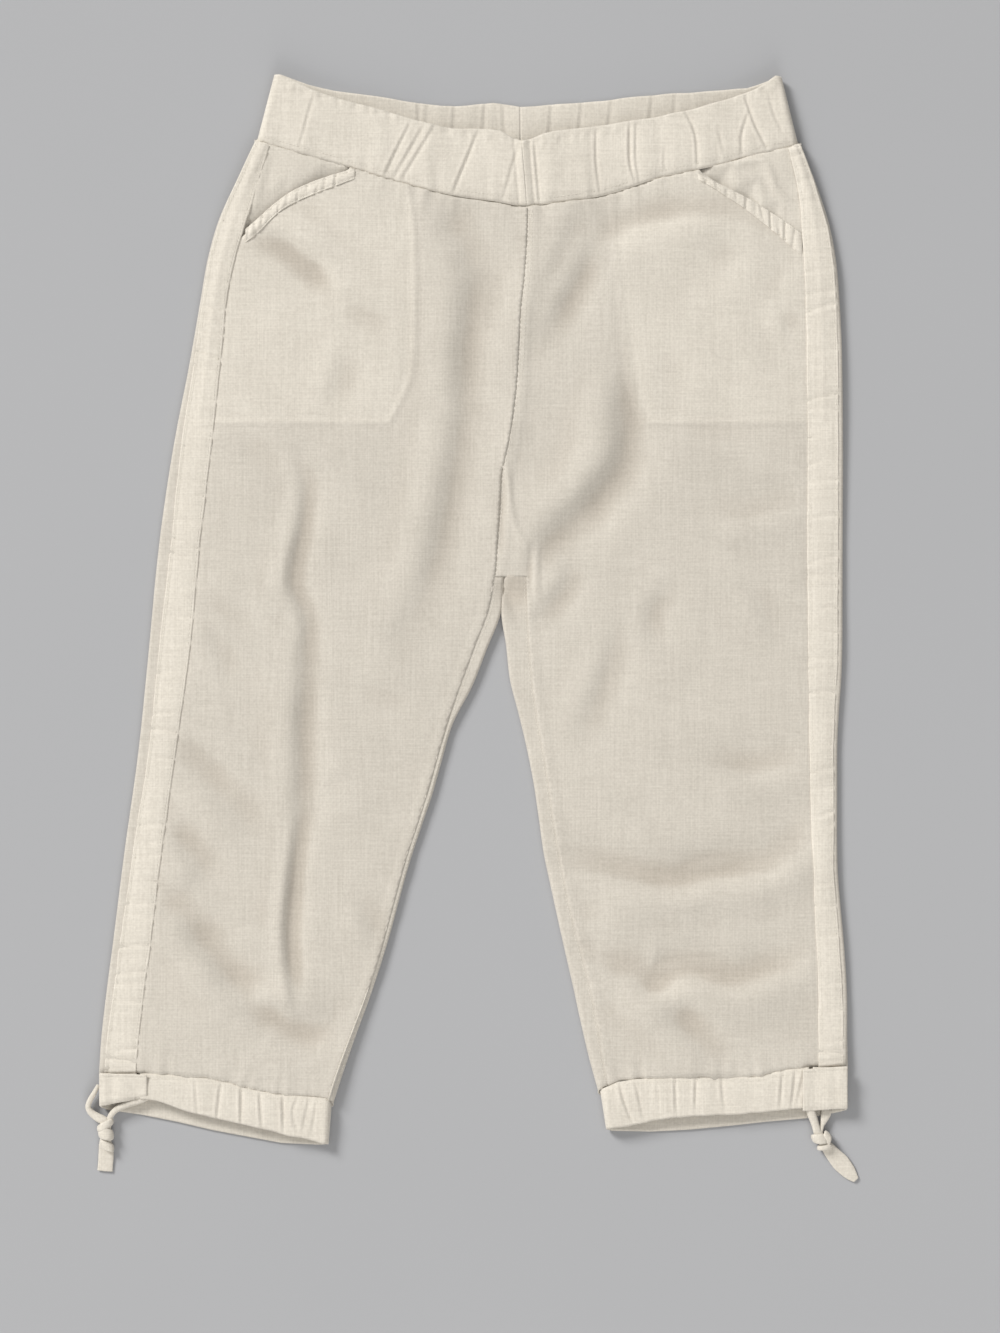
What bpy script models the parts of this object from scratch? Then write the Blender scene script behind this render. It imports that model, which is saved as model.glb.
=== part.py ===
# Linen capri pants lying flat, front up, waist towards +Y.
# Left and right are the wearer's, so the right leg lies at -X.
# Every size below is in millimetres; the objects are built in metres.

import math
from collections import namedtuple

import bmesh
import bpy

NAME = "capri_pants"
MM = 0.001

# Walls of cloth.
CLOTH = 1.0  # one ply of the legs
BAND = 2.4  # folded waistband with its elastic
CASING = 2.0  # folded hem casing
TAPE = 1.2  # side tape, pocket edging and casing tab
GAP = 0.3  # between pieces at a seam or lying on each other
CURVED_GAP = 0.5  # at the curved seams of waistband and casings

# Levels and heights.
CROTCH = 27.0  # where the four leg panels meet
BAND_RISE = 10.4  # top face of the waistband's front over the floor
CASING_RISE = 9.2  # top face of the casing's front over the floor
PUFF_REACH = 70.0  # how far in from an edge the front is still rising
FOLD_FADE = 20.0  # folds die out this far from the edge seams
BAG_TOP = 2.4  # top face of a pocket bag under the front

# Rows and columns of the cloth grids.
ROWS_LEG = 15
ROWS_HIP = 11
COLUMNS_FRONT = 19
COLUMNS_HOOK = 2
HOOK_WIDTH = 26.0  # strip of the left front beside the rise
ARC_STEPS = 4

# Outline and side tape: the silhouette, then the tape's two edges, at each level.
Side = namedtuple("Side", "y right_out right_tape_out right_tape_in left_tape_in left_tape_out left_out")
SIDES = [
    Side(-395, -293.0, -289.0, -264.0, 268.5, 289.5, 293.0),
    Side(-343, -290.6, -286.0, -261.0, 268.5, 288.0, 291.4),
    Side(-304, -286.7, -281.2, -257.0, 268.5, 287.8, 291.3),
    Side(-265, -281.6, -276.0, -251.6, 267.0, 285.5, 289.0),
    Side(-187, -271.8, -265.0, -242.2, 264.0, 280.5, 283.5),
    Side(-109, -261.0, -253.0, -231.3, 261.7, 280.5, 283.6),
    Side(-31, -253.0, -245.0, -220.4, 260.5, 284.0, 287.5),
    Side(47, -245.5, -236.0, -213.3, 260.0, 284.3, 287.7),
    Side(125, -234.4, -228.0, -204.0, 260.0, 284.5, 288.0),
    Side(195, -221.0, -217.0, -196.5, 259.5, 284.0, 287.4),
    Side(257, -210.2, -208.5, -189.5, 258.0, 281.5, 284.3),
    Side(289, -204.0, -202.0, -180.5, 256.0, 277.5, 280.4),
    Side(320, -192.3, -190.5, -171.2, 253.5, 269.5, 271.8),
    Side(362, -170.5, -169.0, -158.0, 244.0, 254.0, 255.5),
]

# Inner edges of the legs and the inseams, which lie on the front.
Inner = namedtuple("Inner", "y right_seam right_in left_in left_seam")
INNERS = [
    Inner(-418, -124.0, -118.0, 106.5, 113.0),
    Inner(-382, -112.8, -107.3, 98.0, 107.5),
    Inner(-343, -99.5, -94.5, 87.5, 100.5),
    Inner(-304, -84.9, -80.7, 79.2, 94.0),
    Inner(-265, -72.2, -68.0, 70.5, 84.5),
    Inner(-226, -61.7, -57.5, 62.0, 74.8),
    Inner(-187, -50.7, -46.5, 54.0, 67.0),
    Inner(-148, -37.7, -33.2, 48.8, 61.0),
    Inner(-117, -29.0, -24.6, 43.3, 56.5),
    Inner(-86, -20.0, -15.2, 36.3, 51.0),
    Inner(-55, -9.0, 1.2, 28.5, 46.7),
    Inner(-35, -2.0, 8.6, 26.3, 44.8),
    Inner(-23, 3.0, 13.7, 24.6, 44.0),
    Inner(-16, 6.5, 19.8, 20.4, 43.7),
    Inner(5, 12.5, 21.8, 22.1, 42.6),
    Inner(27, 16.0, 23.8, 24.1, 42.0),
]

# Seam down the middle of the front.
Rise = namedtuple("Rise", "y x")
FRONT_RISE = [
    Rise(27, 16.0),
    Rise(81, 19.9),
    Rise(119, 22.4),
    Rise(136, 27.5),
    Rise(179, 33.0),
    Rise(242, 36.5),
    Rise(273, 40.0),
    Rise(320, 41.6),
]
BACK_RISE = [Rise(27, 23.95), Rise(345, 37.0)]

# The back's waist seam, straight from each side fold to the middle.
BACK_MIDDLE = (37.0, 343.0)
BACK_SIDE = {"right": (-172.0, 366.5), "left": (256.0, 364.0)}

# Waistband: lower seam, front top edge and back top edge across the waist.
Waist = namedtuple("Waist", "x seam front_top back_top")
WAIST = [
    Waist(-172, 366.5, 416.8, 417.3),
    Waist(-155, 361.0, 416.5, 417.3),
    Waist(-124, 352.6, 404.5, 409.0),
    Waist(-98, 345.0, 395.5, 403.5),
    Waist(-52, 331.5, 383.0, 397.0),
    Waist(-14, 322.5, 374.0, 392.5),
    Waist(18, 318.0, 372.5, 395.0),
    Waist(37, 314.8, 364.0, 392.0),
    Waist(57, 316.0, 370.5, 393.5),
    Waist(100, 322.5, 376.0, 396.5),
    Waist(145, 336.5, 384.0, 402.5),
    Waist(200, 348.5, 397.5, 405.6),
    Waist(222, 355.0, 406.0, 408.0),
    Waist(238, 358.5, 415.5, 414.6),
    Waist(256, 361.5, 416.0, 415.0),
]

# Hem casings: seam on the front, front edge and back edge across each leg.
Hem = namedtuple("Hem", "x seam front back")
RIGHT_HEM = [
    Hem(-293, -360.0, -384.0, -387.5),
    Hem(-285, -360.0, -384.5, -390.0),
    Hem(-252, -361.0, -384.5, -394.5),
    Hem(-206, -364.0, -394.0, -405.0),
    Hem(-182, -370.5, -399.0, -409.5),
    Hem(-150, -377.5, -407.0, -415.5),
    Hem(-134, -378.5, -410.5, -417.3),
    Hem(-116, -380.3, -414.5, -416.3),
    Hem(-107, -381.0, -415.0, -415.0),
]
LEFT_HEM = [
    Hem(96, -375.0, -403.5, -404.0),
    Hem(117, -366.6, -402.0, -406.8),
    Hem(146, -364.3, -396.2, -406.6),
    Hem(178, -363.2, -393.1, -404.3),
    Hem(211, -364.0, -391.6, -401.0),
    Hem(244, -358.0, -388.4, -397.3),
    Hem(277, -355.0, -387.0, -395.0),
    Hem(293, -354.0, -386.0, -388.5),
]

# Where a casing's ends meet under the tab, and the tab's inner edge.
CASING_START = {"right": -259.0, "left": 261.0}
CASING_END_GAP = 3.0
CASING_FRONT_STEPS, CASING_BACK_STEPS = 12, 6
TAB_INNER = {"right": -253.5, "left": 256.0}
TAB_MIDDLE = -375.0  # level where the tab's width is taken
TAB_MARGIN = 1.5  # inside the leg's side and below the casing's edge

# The back's casing seam, straight from the outer to the inner fold of each leg.
BACK_FOOT = {"right": ((-293.0, -360.0), (-107.0, -388.5)), "left": ((293.0, -358.0), (96.0, -378.5))}

# Height of the top face over the floor, at the folded edges and in the middle.
Lie = namedtuple("Lie", "y edge middle")
LIES = [
    Lie(-395, 8.0, 9.0),
    Lie(-360, 7.4, 8.8),
    Lie(-310, 5.2, 6.4),
    Lie(-150, 4.8, 6.0),
    Lie(27, 4.8, 6.2),
    Lie(200, 5.0, 6.6),
    Lie(290, 6.4, 8.0),
    Lie(365, 9.4, 9.8),
]

# Largest folds: three points along each, its height (a trough is below zero) and
# its reach to each side.
Fold = namedtuple("Fold", "name x1 y1 x2 y2 x3 y3 height reach")
FOLDS = [
    Fold("long drop beside the fly", -21, 312, -3, 190, -36, 14, -2.6, 15),
    Fold("its left lip", -40, 300, -24, 190, -56, 20, 1.5, 16),
    Fold("drop down the right leg", -136, 112, -134, -90, -142, -287, -1.8, 11),
    Fold("lip beside that drop", -152, 60, -149, -90, -156, -270, 1.6, 12),
    Fold("right shin drag", -244, -228, -190, -287, -112, -328, -2.5, 12),
    Fold("ridge over the shin drag", -232, -200, -182, -262, -110, -305, 1.8, 14),
    Fold("short shin drag", -237, -170, -222, -187, -208, -207, -1.4, 9),
    Fold("drag from the right pocket", -157, 281, -128, 270, -108, 250, -2.3, 11),
    Fold("sweep under the left pocket", 100, 286, 158, 304, 248, 264, -2.2, 12),
    Fold("ridge under that sweep", 104, 266, 158, 283, 248, 245, 2.2, 16),
    Fold("left of the fly", 98, 288, 82, 258, 61, 217, -2.0, 12),
    Fold("ridge left of the fly", 78, 314, 60, 270, 34, 210, 2.4, 13),
    Fold("crotch pull", 116, 182, 112, 105, 56, 48, -2.5, 15),
    Fold("ridge over the crotch pull", 95, 170, 88, 120, 48, 72, 2.4, 14),
    Fold("pinch on the rise", 30, 162, 25, 108, 42, 52, 1.8, 9),
    Fold("thigh drag", 110, -12, 100, -50, 86, -94, -1.4, 10),
    Fold("knee drag", 185, -121, 220, -125, 252, -120, -1.4, 11),
    Fold("hip drag", 183, 70, 218, 78, 252, 82, -1.3, 11),
    Fold("calf sweep", 76, -204, 160, -217, 258, -174, -2.3, 12),
    Fold("ridge under the calf sweep", 90, -228, 165, -240, 255, -205, 1.6, 15),
    Fold("shin sweep", 96, -278, 165, -300, 254, -274, -2.3, 12),
    Fold("ridge under the shin sweep", 150, -322, 205, -318, 250, -298, 1.6, 14),
]

# Gathers of the waistband: place across the waist and depth of each dip.
Gather = namedtuple("Gather", "x depth")
GATHERS = [
    Gather(-130, 0.7),
    Gather(-92, 0.5),
    Gather(-60, 0.9),
    Gather(-42, 0.7),
    Gather(-8, 0.8),
    Gather(26, 0.7),
    Gather(54, 0.8),
    Gather(95, 0.9),
    Gather(123, 0.7),
    Gather(170, 0.9),
    Gather(215, 0.8),
]
GATHER_REACH = 11.0
GATHER_FADE = 1 / 8  # share of the front half beside the side fold where the dips die out

# Middle of the waistband, and its folded sides, at the top edge and at the seam.
Band = namedtuple("Band", "top foot")
BAND_FRONT_MIDDLE = Band(37.5, 41.6)
BAND_BACK_MIDDLE = Band(36.5, 37.0)
BAND_SIDE = {"right": Band(-155.0, -171.0), "left": Band(240.0, 255.5)}
BAND_FRONT_STEPS, BAND_BACK_STEPS = 24, 9
BAND_SHARES = (0, 1 / 3, 2 / 3, 1)  # grid lines from the seam to the top edge

# Pocket openings: the slanted edging, from the waist seam to the side tape.
Slant = namedtuple("Slant", "x upper lower")
RIGHT_SLANT = [
    Slant(-192, 286.0, 277.0),
    Slant(-172, 300.5, 289.5),
    Slant(-147, 322.0, 312.0),
    Slant(-127, 332.0, 322.0),
    Slant(-93, 343.0, 334.5),
]
LEFT_SLANT = [
    Slant(173, 340.0, 335.5),
    Slant(191, 331.5, 325.0),
    Slant(216, 319.0, 308.5),
    Slant(255, 293.5, 276.0),
    Slant(268, 284.0, 264.0),
]

SLANT_FROM = {"right": 280.0, "left": 265.0}  # the cut leaves the outseam above this level
SLANT_STEPS = 8

# Pocket bags: inner edge and lowest level.
Bag = namedtuple("Bag", "y right_in left_in")
BAGS = [
    Bag(140, -72.0, 138.0),
    Bag(160, -54.0, 126.0),
    Bag(219, -46.0, 118.0),
    Bag(280, -46.0, 111.0),
    Bag(340, -52.0, 108.0),
]
BAG_FOOT = 146.0
BAG_STEPS = 9
BAG_CROWD_ACROSS, BAG_CROWD_UP = 1.3, 0.8  # crowd the grid lines towards the pocket opening
BAG_SHOW, BAG_SHOW_END = 9.0, 6.0  # the bag comes up over this far past the cut and its end

# Ties: strands, knot and tail of each leg. A strand is a row of (x, y, z) points.
STRAND_RADIUS = 2.7
RIGHT_LOOP = [(-296.4, -378.0, 4.6), (-299.8, -384.5, 4.2), (-299.4, -391.0, 4.0), (-294.6, -396.4, 4.2)]
RIGHT_STRAND = [(-262.0, -388.6, 5.2), (-270.3, -389.8, 5.2), (-277.3, -392.6, 4.9), (-281.0, -396.0, 4.4)]
LEFT_LOOP = [(277.2, -397.6, 3.6), (276.0, -401.0, 3.4), (274.4, -404.4, 3.4)]
LEFT_STRAND = [(261.4, -391.6, 5.6), (264.2, -397.0, 5.4), (267.0, -404.2, 4.2)]
Knot = namedtuple("Knot", "x y z wide long high")
RIGHT_KNOT = Knot(-286.2, -405.2, 4.6, 14.4, 13.6, 8.4)
LEFT_KNOT = Knot(272.2, -414.2, 4.6, 15.0, 14.6, 8.4)
TAIL = 1.6
RIGHT_TAIL = [(-291.6, -412.6), (-281.4, -412.6), (-280.8, -437.6), (-292.4, -437.2)]
LEFT_TAIL = [
    (273.4, -423.2),
    (281.4, -419.6),
    (290.6, -425.5),
    (296.8, -433.7),
    (300.7, -442.3),
    (298.4, -445.0),
    (292.1, -445.0),
    (284.3, -437.6),
    (277.3, -429.6),
]

# Colours, linear.
LEG_CLOTH = (0.67, 0.62, 0.54)
BAND_CLOTH = (0.72, 0.66, 0.58)
TRIM_CLOTH = (0.76, 0.71, 0.63)


def ease(t):
    t = max(0.0, min(1.0, t))
    return t * t * (3 - 2 * t)


def mix(a, b, t):
    return a + (b - a) * t


def read(rows, column, at):
    # One named column of a table as a smooth curve that never overshoots its rows.
    xs = [row[0] for row in rows]
    ys = [getattr(row, column) for row in rows]
    if at <= xs[0]:
        return ys[0]
    if at >= xs[-1]:
        return ys[-1]
    steps = [(ys[i + 1] - ys[i]) / (xs[i + 1] - xs[i]) for i in range(len(xs) - 1)]

    def slope(i):
        if i == 0 or i == len(xs) - 1:
            return steps[min(i, len(steps) - 1)]
        before, after = steps[i - 1], steps[i]
        return 0.0 if before * after <= 0 else 2 * before * after / (before + after)

    i = max(k for k in range(len(xs) - 1) if xs[k] <= at)
    width = xs[i + 1] - xs[i]
    t = (at - xs[i]) / width
    bend = (slope(i) + slope(i + 1) - 2 * steps[i]) * width
    lift = (3 * steps[i] - 2 * slope(i) - slope(i + 1)) * width
    return ys[i] + t * (slope(i) * width + t * (lift + t * bend))


def fold_line(fold, steps=8):
    # Points along the arc through a fold's three points.
    bend_x = 2 * fold.x2 - (fold.x1 + fold.x3) / 2
    bend_y = 2 * fold.y2 - (fold.y1 + fold.y3) / 2
    line = []
    for i in range(steps + 1):
        t = i / steps
        a, b, c = (1 - t) ** 2, 2 * t * (1 - t), t * t
        line.append((a * fold.x1 + b * bend_x + c * fold.x3, a * fold.y1 + b * bend_y + c * fold.y3))
    return line


FOLD_LINES = [(fold, fold_line(fold)) for fold in FOLDS]


def distance_to_line(x, y, line):
    best = float("inf")
    for (ax, ay), (bx, by) in zip(line, line[1:]):
        dx, dy = bx - ax, by - ay
        t = max(0.0, min(1.0, ((x - ax) * dx + (y - ay) * dy) / (dx * dx + dy * dy)))
        best = min(best, math.hypot(x - ax - t * dx, y - ay - t * dy))
    return best


def fold_height(x, y):
    total = 0.0
    for fold, line in FOLD_LINES:
        away = distance_to_line(x, y, line) / fold.reach
        if away < 1:
            total += fold.height * 0.5 * (1 + math.cos(math.pi * away))
    return total


def outer_edge(leg, y):
    return read(SIDES, leg + "_out", y)


def outer_seam(leg, y):
    return (read(SIDES, leg + "_tape_out", y) + read(SIDES, leg + "_tape_in", y)) / 2


def inner_edge(leg, y):
    return read(INNERS, leg + "_in", y)


def inner_seam(leg, y):
    return read(INNERS, leg + "_seam", y)


def lie(leg, x, y):
    # Height of the outer face of the top cloth over the floor.
    inward = 1 if leg == "right" else -1
    from_side = (x - outer_edge(leg, y)) * inward
    if y < CROTCH:
        from_inner = (inner_edge(leg, y) - x) * inward
        from_seam = (inner_seam(leg, y) - x) * inward
    else:
        from_inner = math.hypot(x - inner_edge(leg, CROTCH), y - CROTCH)
        from_seam = from_inner
    from_tape = (x - read(SIDES, leg + "_tape_in", y)) * inward
    edge, middle = read(LIES, "edge", y), read(LIES, "middle", y)
    rise = mix(edge, middle, ease(min(from_side, from_inner) / PUFF_REACH))
    return rise + fold_height(x, y) * ease(min(from_tape, from_seam) / FOLD_FADE)


def hem_rows(leg):
    return RIGHT_HEM if leg == "right" else LEFT_HEM


def straight(start, end, x):
    return mix(start[1], end[1], (x - start[0]) / (end[0] - start[0]))


def back_seam(leg, x):
    return straight(BACK_SIDE[leg], BACK_MIDDLE, x)


def back_foot(leg, x):
    return straight(*BACK_FOOT[leg], x)


def level(row, low, high):
    # Level of a grid row: leg rows run up from low to the crotch, hip rows on to high.
    if row <= ROWS_LEG:
        return mix(low, CROTCH, row / ROWS_LEG)
    return mix(CROTCH, high, (row - ROWS_LEG) / ROWS_HIP)


def front_level(leg, row, x):
    low = read(hem_rows(leg), "seam", x) + CURVED_GAP
    high = read(WAIST, "seam", x) - CURVED_GAP
    return level(row, low, high)


def back_level(leg, row, x):
    low = back_foot(leg, x) + CURVED_GAP
    return level(row, low, back_seam(leg, x) - CURVED_GAP)


def settle(place, level_at, start):
    # A point whose x depends on its y and whose y depends on its x.
    x = start
    for _ in range(12):
        y = level_at(x)
        x = place(y)
    return x, y


def cloth(name, grid, wall, colour, keep=None):
    # A sheet on a grid of outer points, thickened inwards.
    mesh = bpy.data.meshes.new(name)
    bm = bmesh.new()
    made = {}

    def corner(i, j):
        if (i, j) not in made:
            x, y, z = grid[i][j]
            made[i, j] = bm.verts.new((x * MM, y * MM, z * MM))
        return made[i, j]

    for i in range(len(grid) - 1):
        for j in range(len(grid[0]) - 1):
            if keep is None or keep(i, j):
                corners = [corner(i, j), corner(i, j + 1), corner(i + 1, j + 1), corner(i + 1, j)]
                bm.faces.new(corners)
    bm.to_mesh(mesh)
    bm.free()
    piece = add_object(name, mesh, colour)
    solidify = piece.modifiers.new("Wall", "SOLIDIFY")
    solidify.thickness = wall * MM
    solidify.offset = -1
    solidify.use_even_offset = True
    return piece


def add_object(name, data, colour):
    piece = bpy.data.objects.new(name, data)
    PARTS.objects.link(piece)
    material = bpy.data.materials.new(name + "_cloth")
    material.use_nodes = True
    shader = material.node_tree.nodes["Principled BSDF"]
    shader.inputs["Base Color"].default_value = (*colour, 1.0)
    shader.inputs["Roughness"].default_value = 0.9
    shader.inputs["Metallic"].default_value = 0.0
    data.materials.append(material)
    return piece


def mirrored(leg, grid):
    # Rows of the left leg run the other way across, so its faces still point out.
    return grid if leg == "right" else [row[::-1] for row in grid]


def slant_rows(leg):
    return RIGHT_SLANT if leg == "right" else LEFT_SLANT


def slant_x(leg, y):
    # Where the pocket opening's cut edge, the middle of its edging, crosses a level.
    rows = slant_rows(leg)
    a, b = rows[0].x, rows[-1].x
    for _ in range(24):
        middle = (a + b) / 2
        cut = (read(rows, "upper", middle) + read(rows, "lower", middle)) / 2
        if (cut > y) == (leg == "right"):
            b = middle
        else:
            a = middle
    return (a + b) / 2


def front_side(leg, y):
    # Side of a leg front: the outseam, then the slanted cut of the pocket opening.
    seam = outer_seam(leg, y)
    if leg == "right":
        return max(seam + GAP / 2, slant_x(leg, y) if y > SLANT_FROM[leg] else seam)
    return min(seam - GAP / 2, slant_x(leg, y) if y > SLANT_FROM[leg] else seam)


def front_inner(leg, y):
    away = GAP / 2 if leg == "right" else -GAP / 2
    if y >= CROTCH:
        return read(FRONT_RISE, "x", y) - away
    return inner_seam(leg, y) - away


def make_front(leg):
    # The left front has a narrow hook beside the rise that stops at the crotch.
    hook = 0 if leg == "right" else COLUMNS_HOOK
    grid = []
    for row in range(ROWS_LEG + ROWS_HIP + 1):
        line = []
        for column in range(COLUMNS_FRONT + hook + 1):

            def place(y):
                side = front_side(leg, y)
                inner = front_inner(leg, y)
                if hook:
                    inner = inner + HOOK_WIDTH if row > ROWS_LEG else inner_seam(leg, y) + GAP / 2
                if column <= COLUMNS_FRONT:
                    return mix(side, inner, column / COLUMNS_FRONT)
                return mix(inner, inner - HOOK_WIDTH, (column - COLUMNS_FRONT) / hook)

            start = mix(front_side(leg, 100), 20, min(1, column / COLUMNS_FRONT))
            x, y = settle(place, lambda x: front_level(leg, row, x), start)
            line.append((x, y, lie(leg, x, y)))
        grid.append(line)

    def keep(i, j):
        return i >= ROWS_LEG or not hook or j >= hook

    cloth("front_" + leg, mirrored(leg, grid), CLOTH, LEG_CLOTH, keep)


def arc(edge_x, inward, height, start_up):
    # Half circle of a folded edge, from the top face to the floor or back.
    radius = height / 2
    points = []
    for step in range(ARC_STEPS + 1):
        turn = math.pi * step / ARC_STEPS
        if not start_up:
            turn = math.pi - turn
        x = edge_x + inward * radius * (1 - math.sin(turn))
        points.append((x, radius + radius * math.cos(turn)))
    return points


def make_back(leg):
    inward = 1 if leg == "right" else -1
    grid = []
    for row in range(ROWS_LEG + ROWS_HIP + 1):

        def at(place, level_at):
            return settle(place, lambda x: level_at(leg, row, x), place(100))

        line = []
        x, y = at(lambda y: outer_seam(leg, y) - inward * GAP / 2, front_level)
        line.append((x, y, lie(leg, x, y)))
        for step in range(ARC_STEPS + 1):
            share = step / ARC_STEPS

            def side_level(leg, row, x):
                return mix(front_level(leg, row, x), back_level(leg, row, x), share)

            def side_place(y):
                height = read(LIES, "edge", y)
                return arc(outer_edge(leg, y), inward, height, True)[step][0]

            x, y = at(side_place, side_level)
            height = read(LIES, "edge", y)
            line.append((x, y, arc(outer_edge(leg, y), inward, height, True)[step][1]))

        def inner_place(y):
            if row > ROWS_LEG:
                return read(BACK_RISE, "x", y) - inward * GAP / 2
            return inner_edge(leg, y) - inward * read(LIES, "edge", y) / 2

        for share in (1 / 3, 2 / 3):
            x, y = at(
                lambda y: mix(outer_edge(leg, y) + inward * read(LIES, "edge", y) / 2, inner_place(y), share),
                back_level,
            )
            line.append((x, y, 0.0))
        for step in range(ARC_STEPS + 1):
            share = 1 - step / ARC_STEPS

            def inner_level(leg, row, x):
                return mix(front_level(leg, row, x), back_level(leg, row, x), share)

            def edge_place(y):
                if step == 0:
                    return inner_place(y)
                height = read(LIES, "edge", y)
                return arc(inner_edge(leg, y), -inward, height, False)[step][0]

            x, y = at(edge_place, inner_level)
            height = read(LIES, "edge", y)
            line.append((x, y, arc(0, -inward, height, False)[step][1]))
        x, y = at(lambda y: inner_seam(leg, y) + inward * GAP / 2, front_level)
        line.append((x, y, lie(leg, x, y)))
        grid.append(line)
    flat_columns = 1 + ARC_STEPS + 3
    columns = len(grid[0]) - 1

    def keep(i, j):
        across = j if leg == "right" else columns - 1 - j
        return i < ROWS_LEG or across < flat_columns

    faces_out = [row[::-1] for row in mirrored(leg, grid)]
    cloth("back_" + leg, faces_out, CLOTH, LEG_CLOTH, lambda i, j: keep(i, columns - 1 - j))


def make_tape(leg):
    # Side tape over the outseam, from the waist seam to the casing.
    grid = []
    for row in range(ROWS_LEG + ROWS_HIP + 1):
        line = []
        for share in (0, 0.5, 1):

            def place(y):
                out = read(SIDES, leg + "_tape_out", y)
                return mix(out, read(SIDES, leg + "_tape_in", y), share)

            x, y = settle(place, lambda x: front_level(leg, row, x), place(100))
            line.append((x, y, lie(leg, x, y) + GAP + TAPE))
        grid.append(line)
    cloth("side_tape_" + leg, mirrored(leg, grid), TAPE, TRIM_CLOTH)


def make_pocket(leg):
    inward = 1 if leg == "right" else -1
    rows = slant_rows(leg)
    # Edging along the cut, clear of the tape and the waistband.
    near = read(SIDES, leg + "_tape_in", rows[2].upper - 20) + inward * GAP
    far = rows[-1].x if leg == "right" else rows[0].x
    grid = []
    for side in ("lower", "upper"):
        line = []
        for step in range(SLANT_STEPS + 1):
            x = mix(near, far, step / SLANT_STEPS)
            y = min(read(rows, side, x), read(WAIST, "seam", x) - GAP)
            line.append((x, y, lie(leg, x, y) + GAP + TAPE))
        grid.append(line)
    cloth("pocket_edging_" + leg, mirrored(leg, grid), TAPE, TRIM_CLOTH)

    # Bag between front and back; it comes up level with the front in the opening.
    grid = []
    for row in range(BAG_STEPS + 1):
        line = []
        for column in range(BAG_STEPS + 1):

            def place(y):
                side = outer_seam(leg, y) + inward * GAP / 2
                return mix(side, read(BAGS, leg + "_in", y), (column / BAG_STEPS) ** BAG_CROWD_ACROSS)

            def bag_level(x):
                return mix(BAG_FOOT, read(WAIST, "seam", x) - GAP, (row / BAG_STEPS) ** BAG_CROWD_UP)

            x, y = settle(place, bag_level, place(200))
            cut = (read(rows, "upper", x) + read(rows, "lower", x)) / 2
            beside = inward * (far - x) / BAG_SHOW_END
            shown = ease((y - cut) / BAG_SHOW) * ease(beside)
            line.append((x, y, mix(BAG_TOP, lie(leg, x, y) - CLOTH, shown)))
        grid.append(line)
    cloth("pocket_bag_" + leg, mirrored(leg, grid), CLOTH, LEG_CLOTH)


def gather_dip(x):
    dip = 0.0
    for gather in GATHERS:
        away = abs(x - gather.x) / GATHER_REACH
        if away < 1:
            dip += gather.depth * 0.5 * (1 + math.cos(math.pi * away))
    return dip


def make_waistband(leg):
    # A band round the side: front half, folded side, back half, seam at both ends.
    inward = 1 if leg == "right" else -1
    away = inward * GAP / 2
    side = BAND_SIDE[leg]
    radius = BAND_RISE / 2
    grid = []
    for step in range(BAND_FRONT_STEPS + 1):
        along = step / BAND_FRONT_STEPS
        x_top = mix(BAND_FRONT_MIDDLE.top - away, side.top + inward * radius, along)
        x_foot = mix(BAND_FRONT_MIDDLE.foot - away, side.foot + inward * radius, along)
        line = []
        for share in BAND_SHARES:
            x = mix(x_foot, x_top, share)
            y = mix(read(WAIST, "seam", x_foot), read(WAIST, "front_top", x_top), share)
            calm = ease((1 - along) / GATHER_FADE)
            line.append((x, y, BAND_RISE - gather_dip(x) * calm))
        grid.append(line)
    for step in range(1, ARC_STEPS):
        turn = math.pi * step / ARC_STEPS
        line = []
        for share in BAND_SHARES:
            edge = mix(side.foot, side.top, share)
            x = edge + inward * radius * (1 - math.sin(turn))
            foot = mix(read(WAIST, "seam", edge), back_seam(leg, edge), step / ARC_STEPS)
            top = mix(read(WAIST, "front_top", edge), read(WAIST, "back_top", edge), step / ARC_STEPS)
            line.append((x, mix(foot, top, share), radius + radius * math.cos(turn)))
        grid.append(line)
    for step in range(BAND_BACK_STEPS + 1):
        along = step / BAND_BACK_STEPS
        x_top = mix(side.top + inward * radius, BAND_BACK_MIDDLE.top - away, along)
        x_foot = mix(side.foot + inward * radius, BAND_BACK_MIDDLE.foot - away, along)
        line = []
        for share in BAND_SHARES:
            top = read(WAIST, "back_top", x_top)
            foot = back_seam(leg, x_foot)
            line.append((mix(x_foot, x_top, share), mix(foot, top, share), 0.0))
        grid.append(line)
    faces_out = grid if leg == "right" else grid[::-1]
    cloth("waistband_" + leg, faces_out, BAND, BAND_CLOTH)


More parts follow.
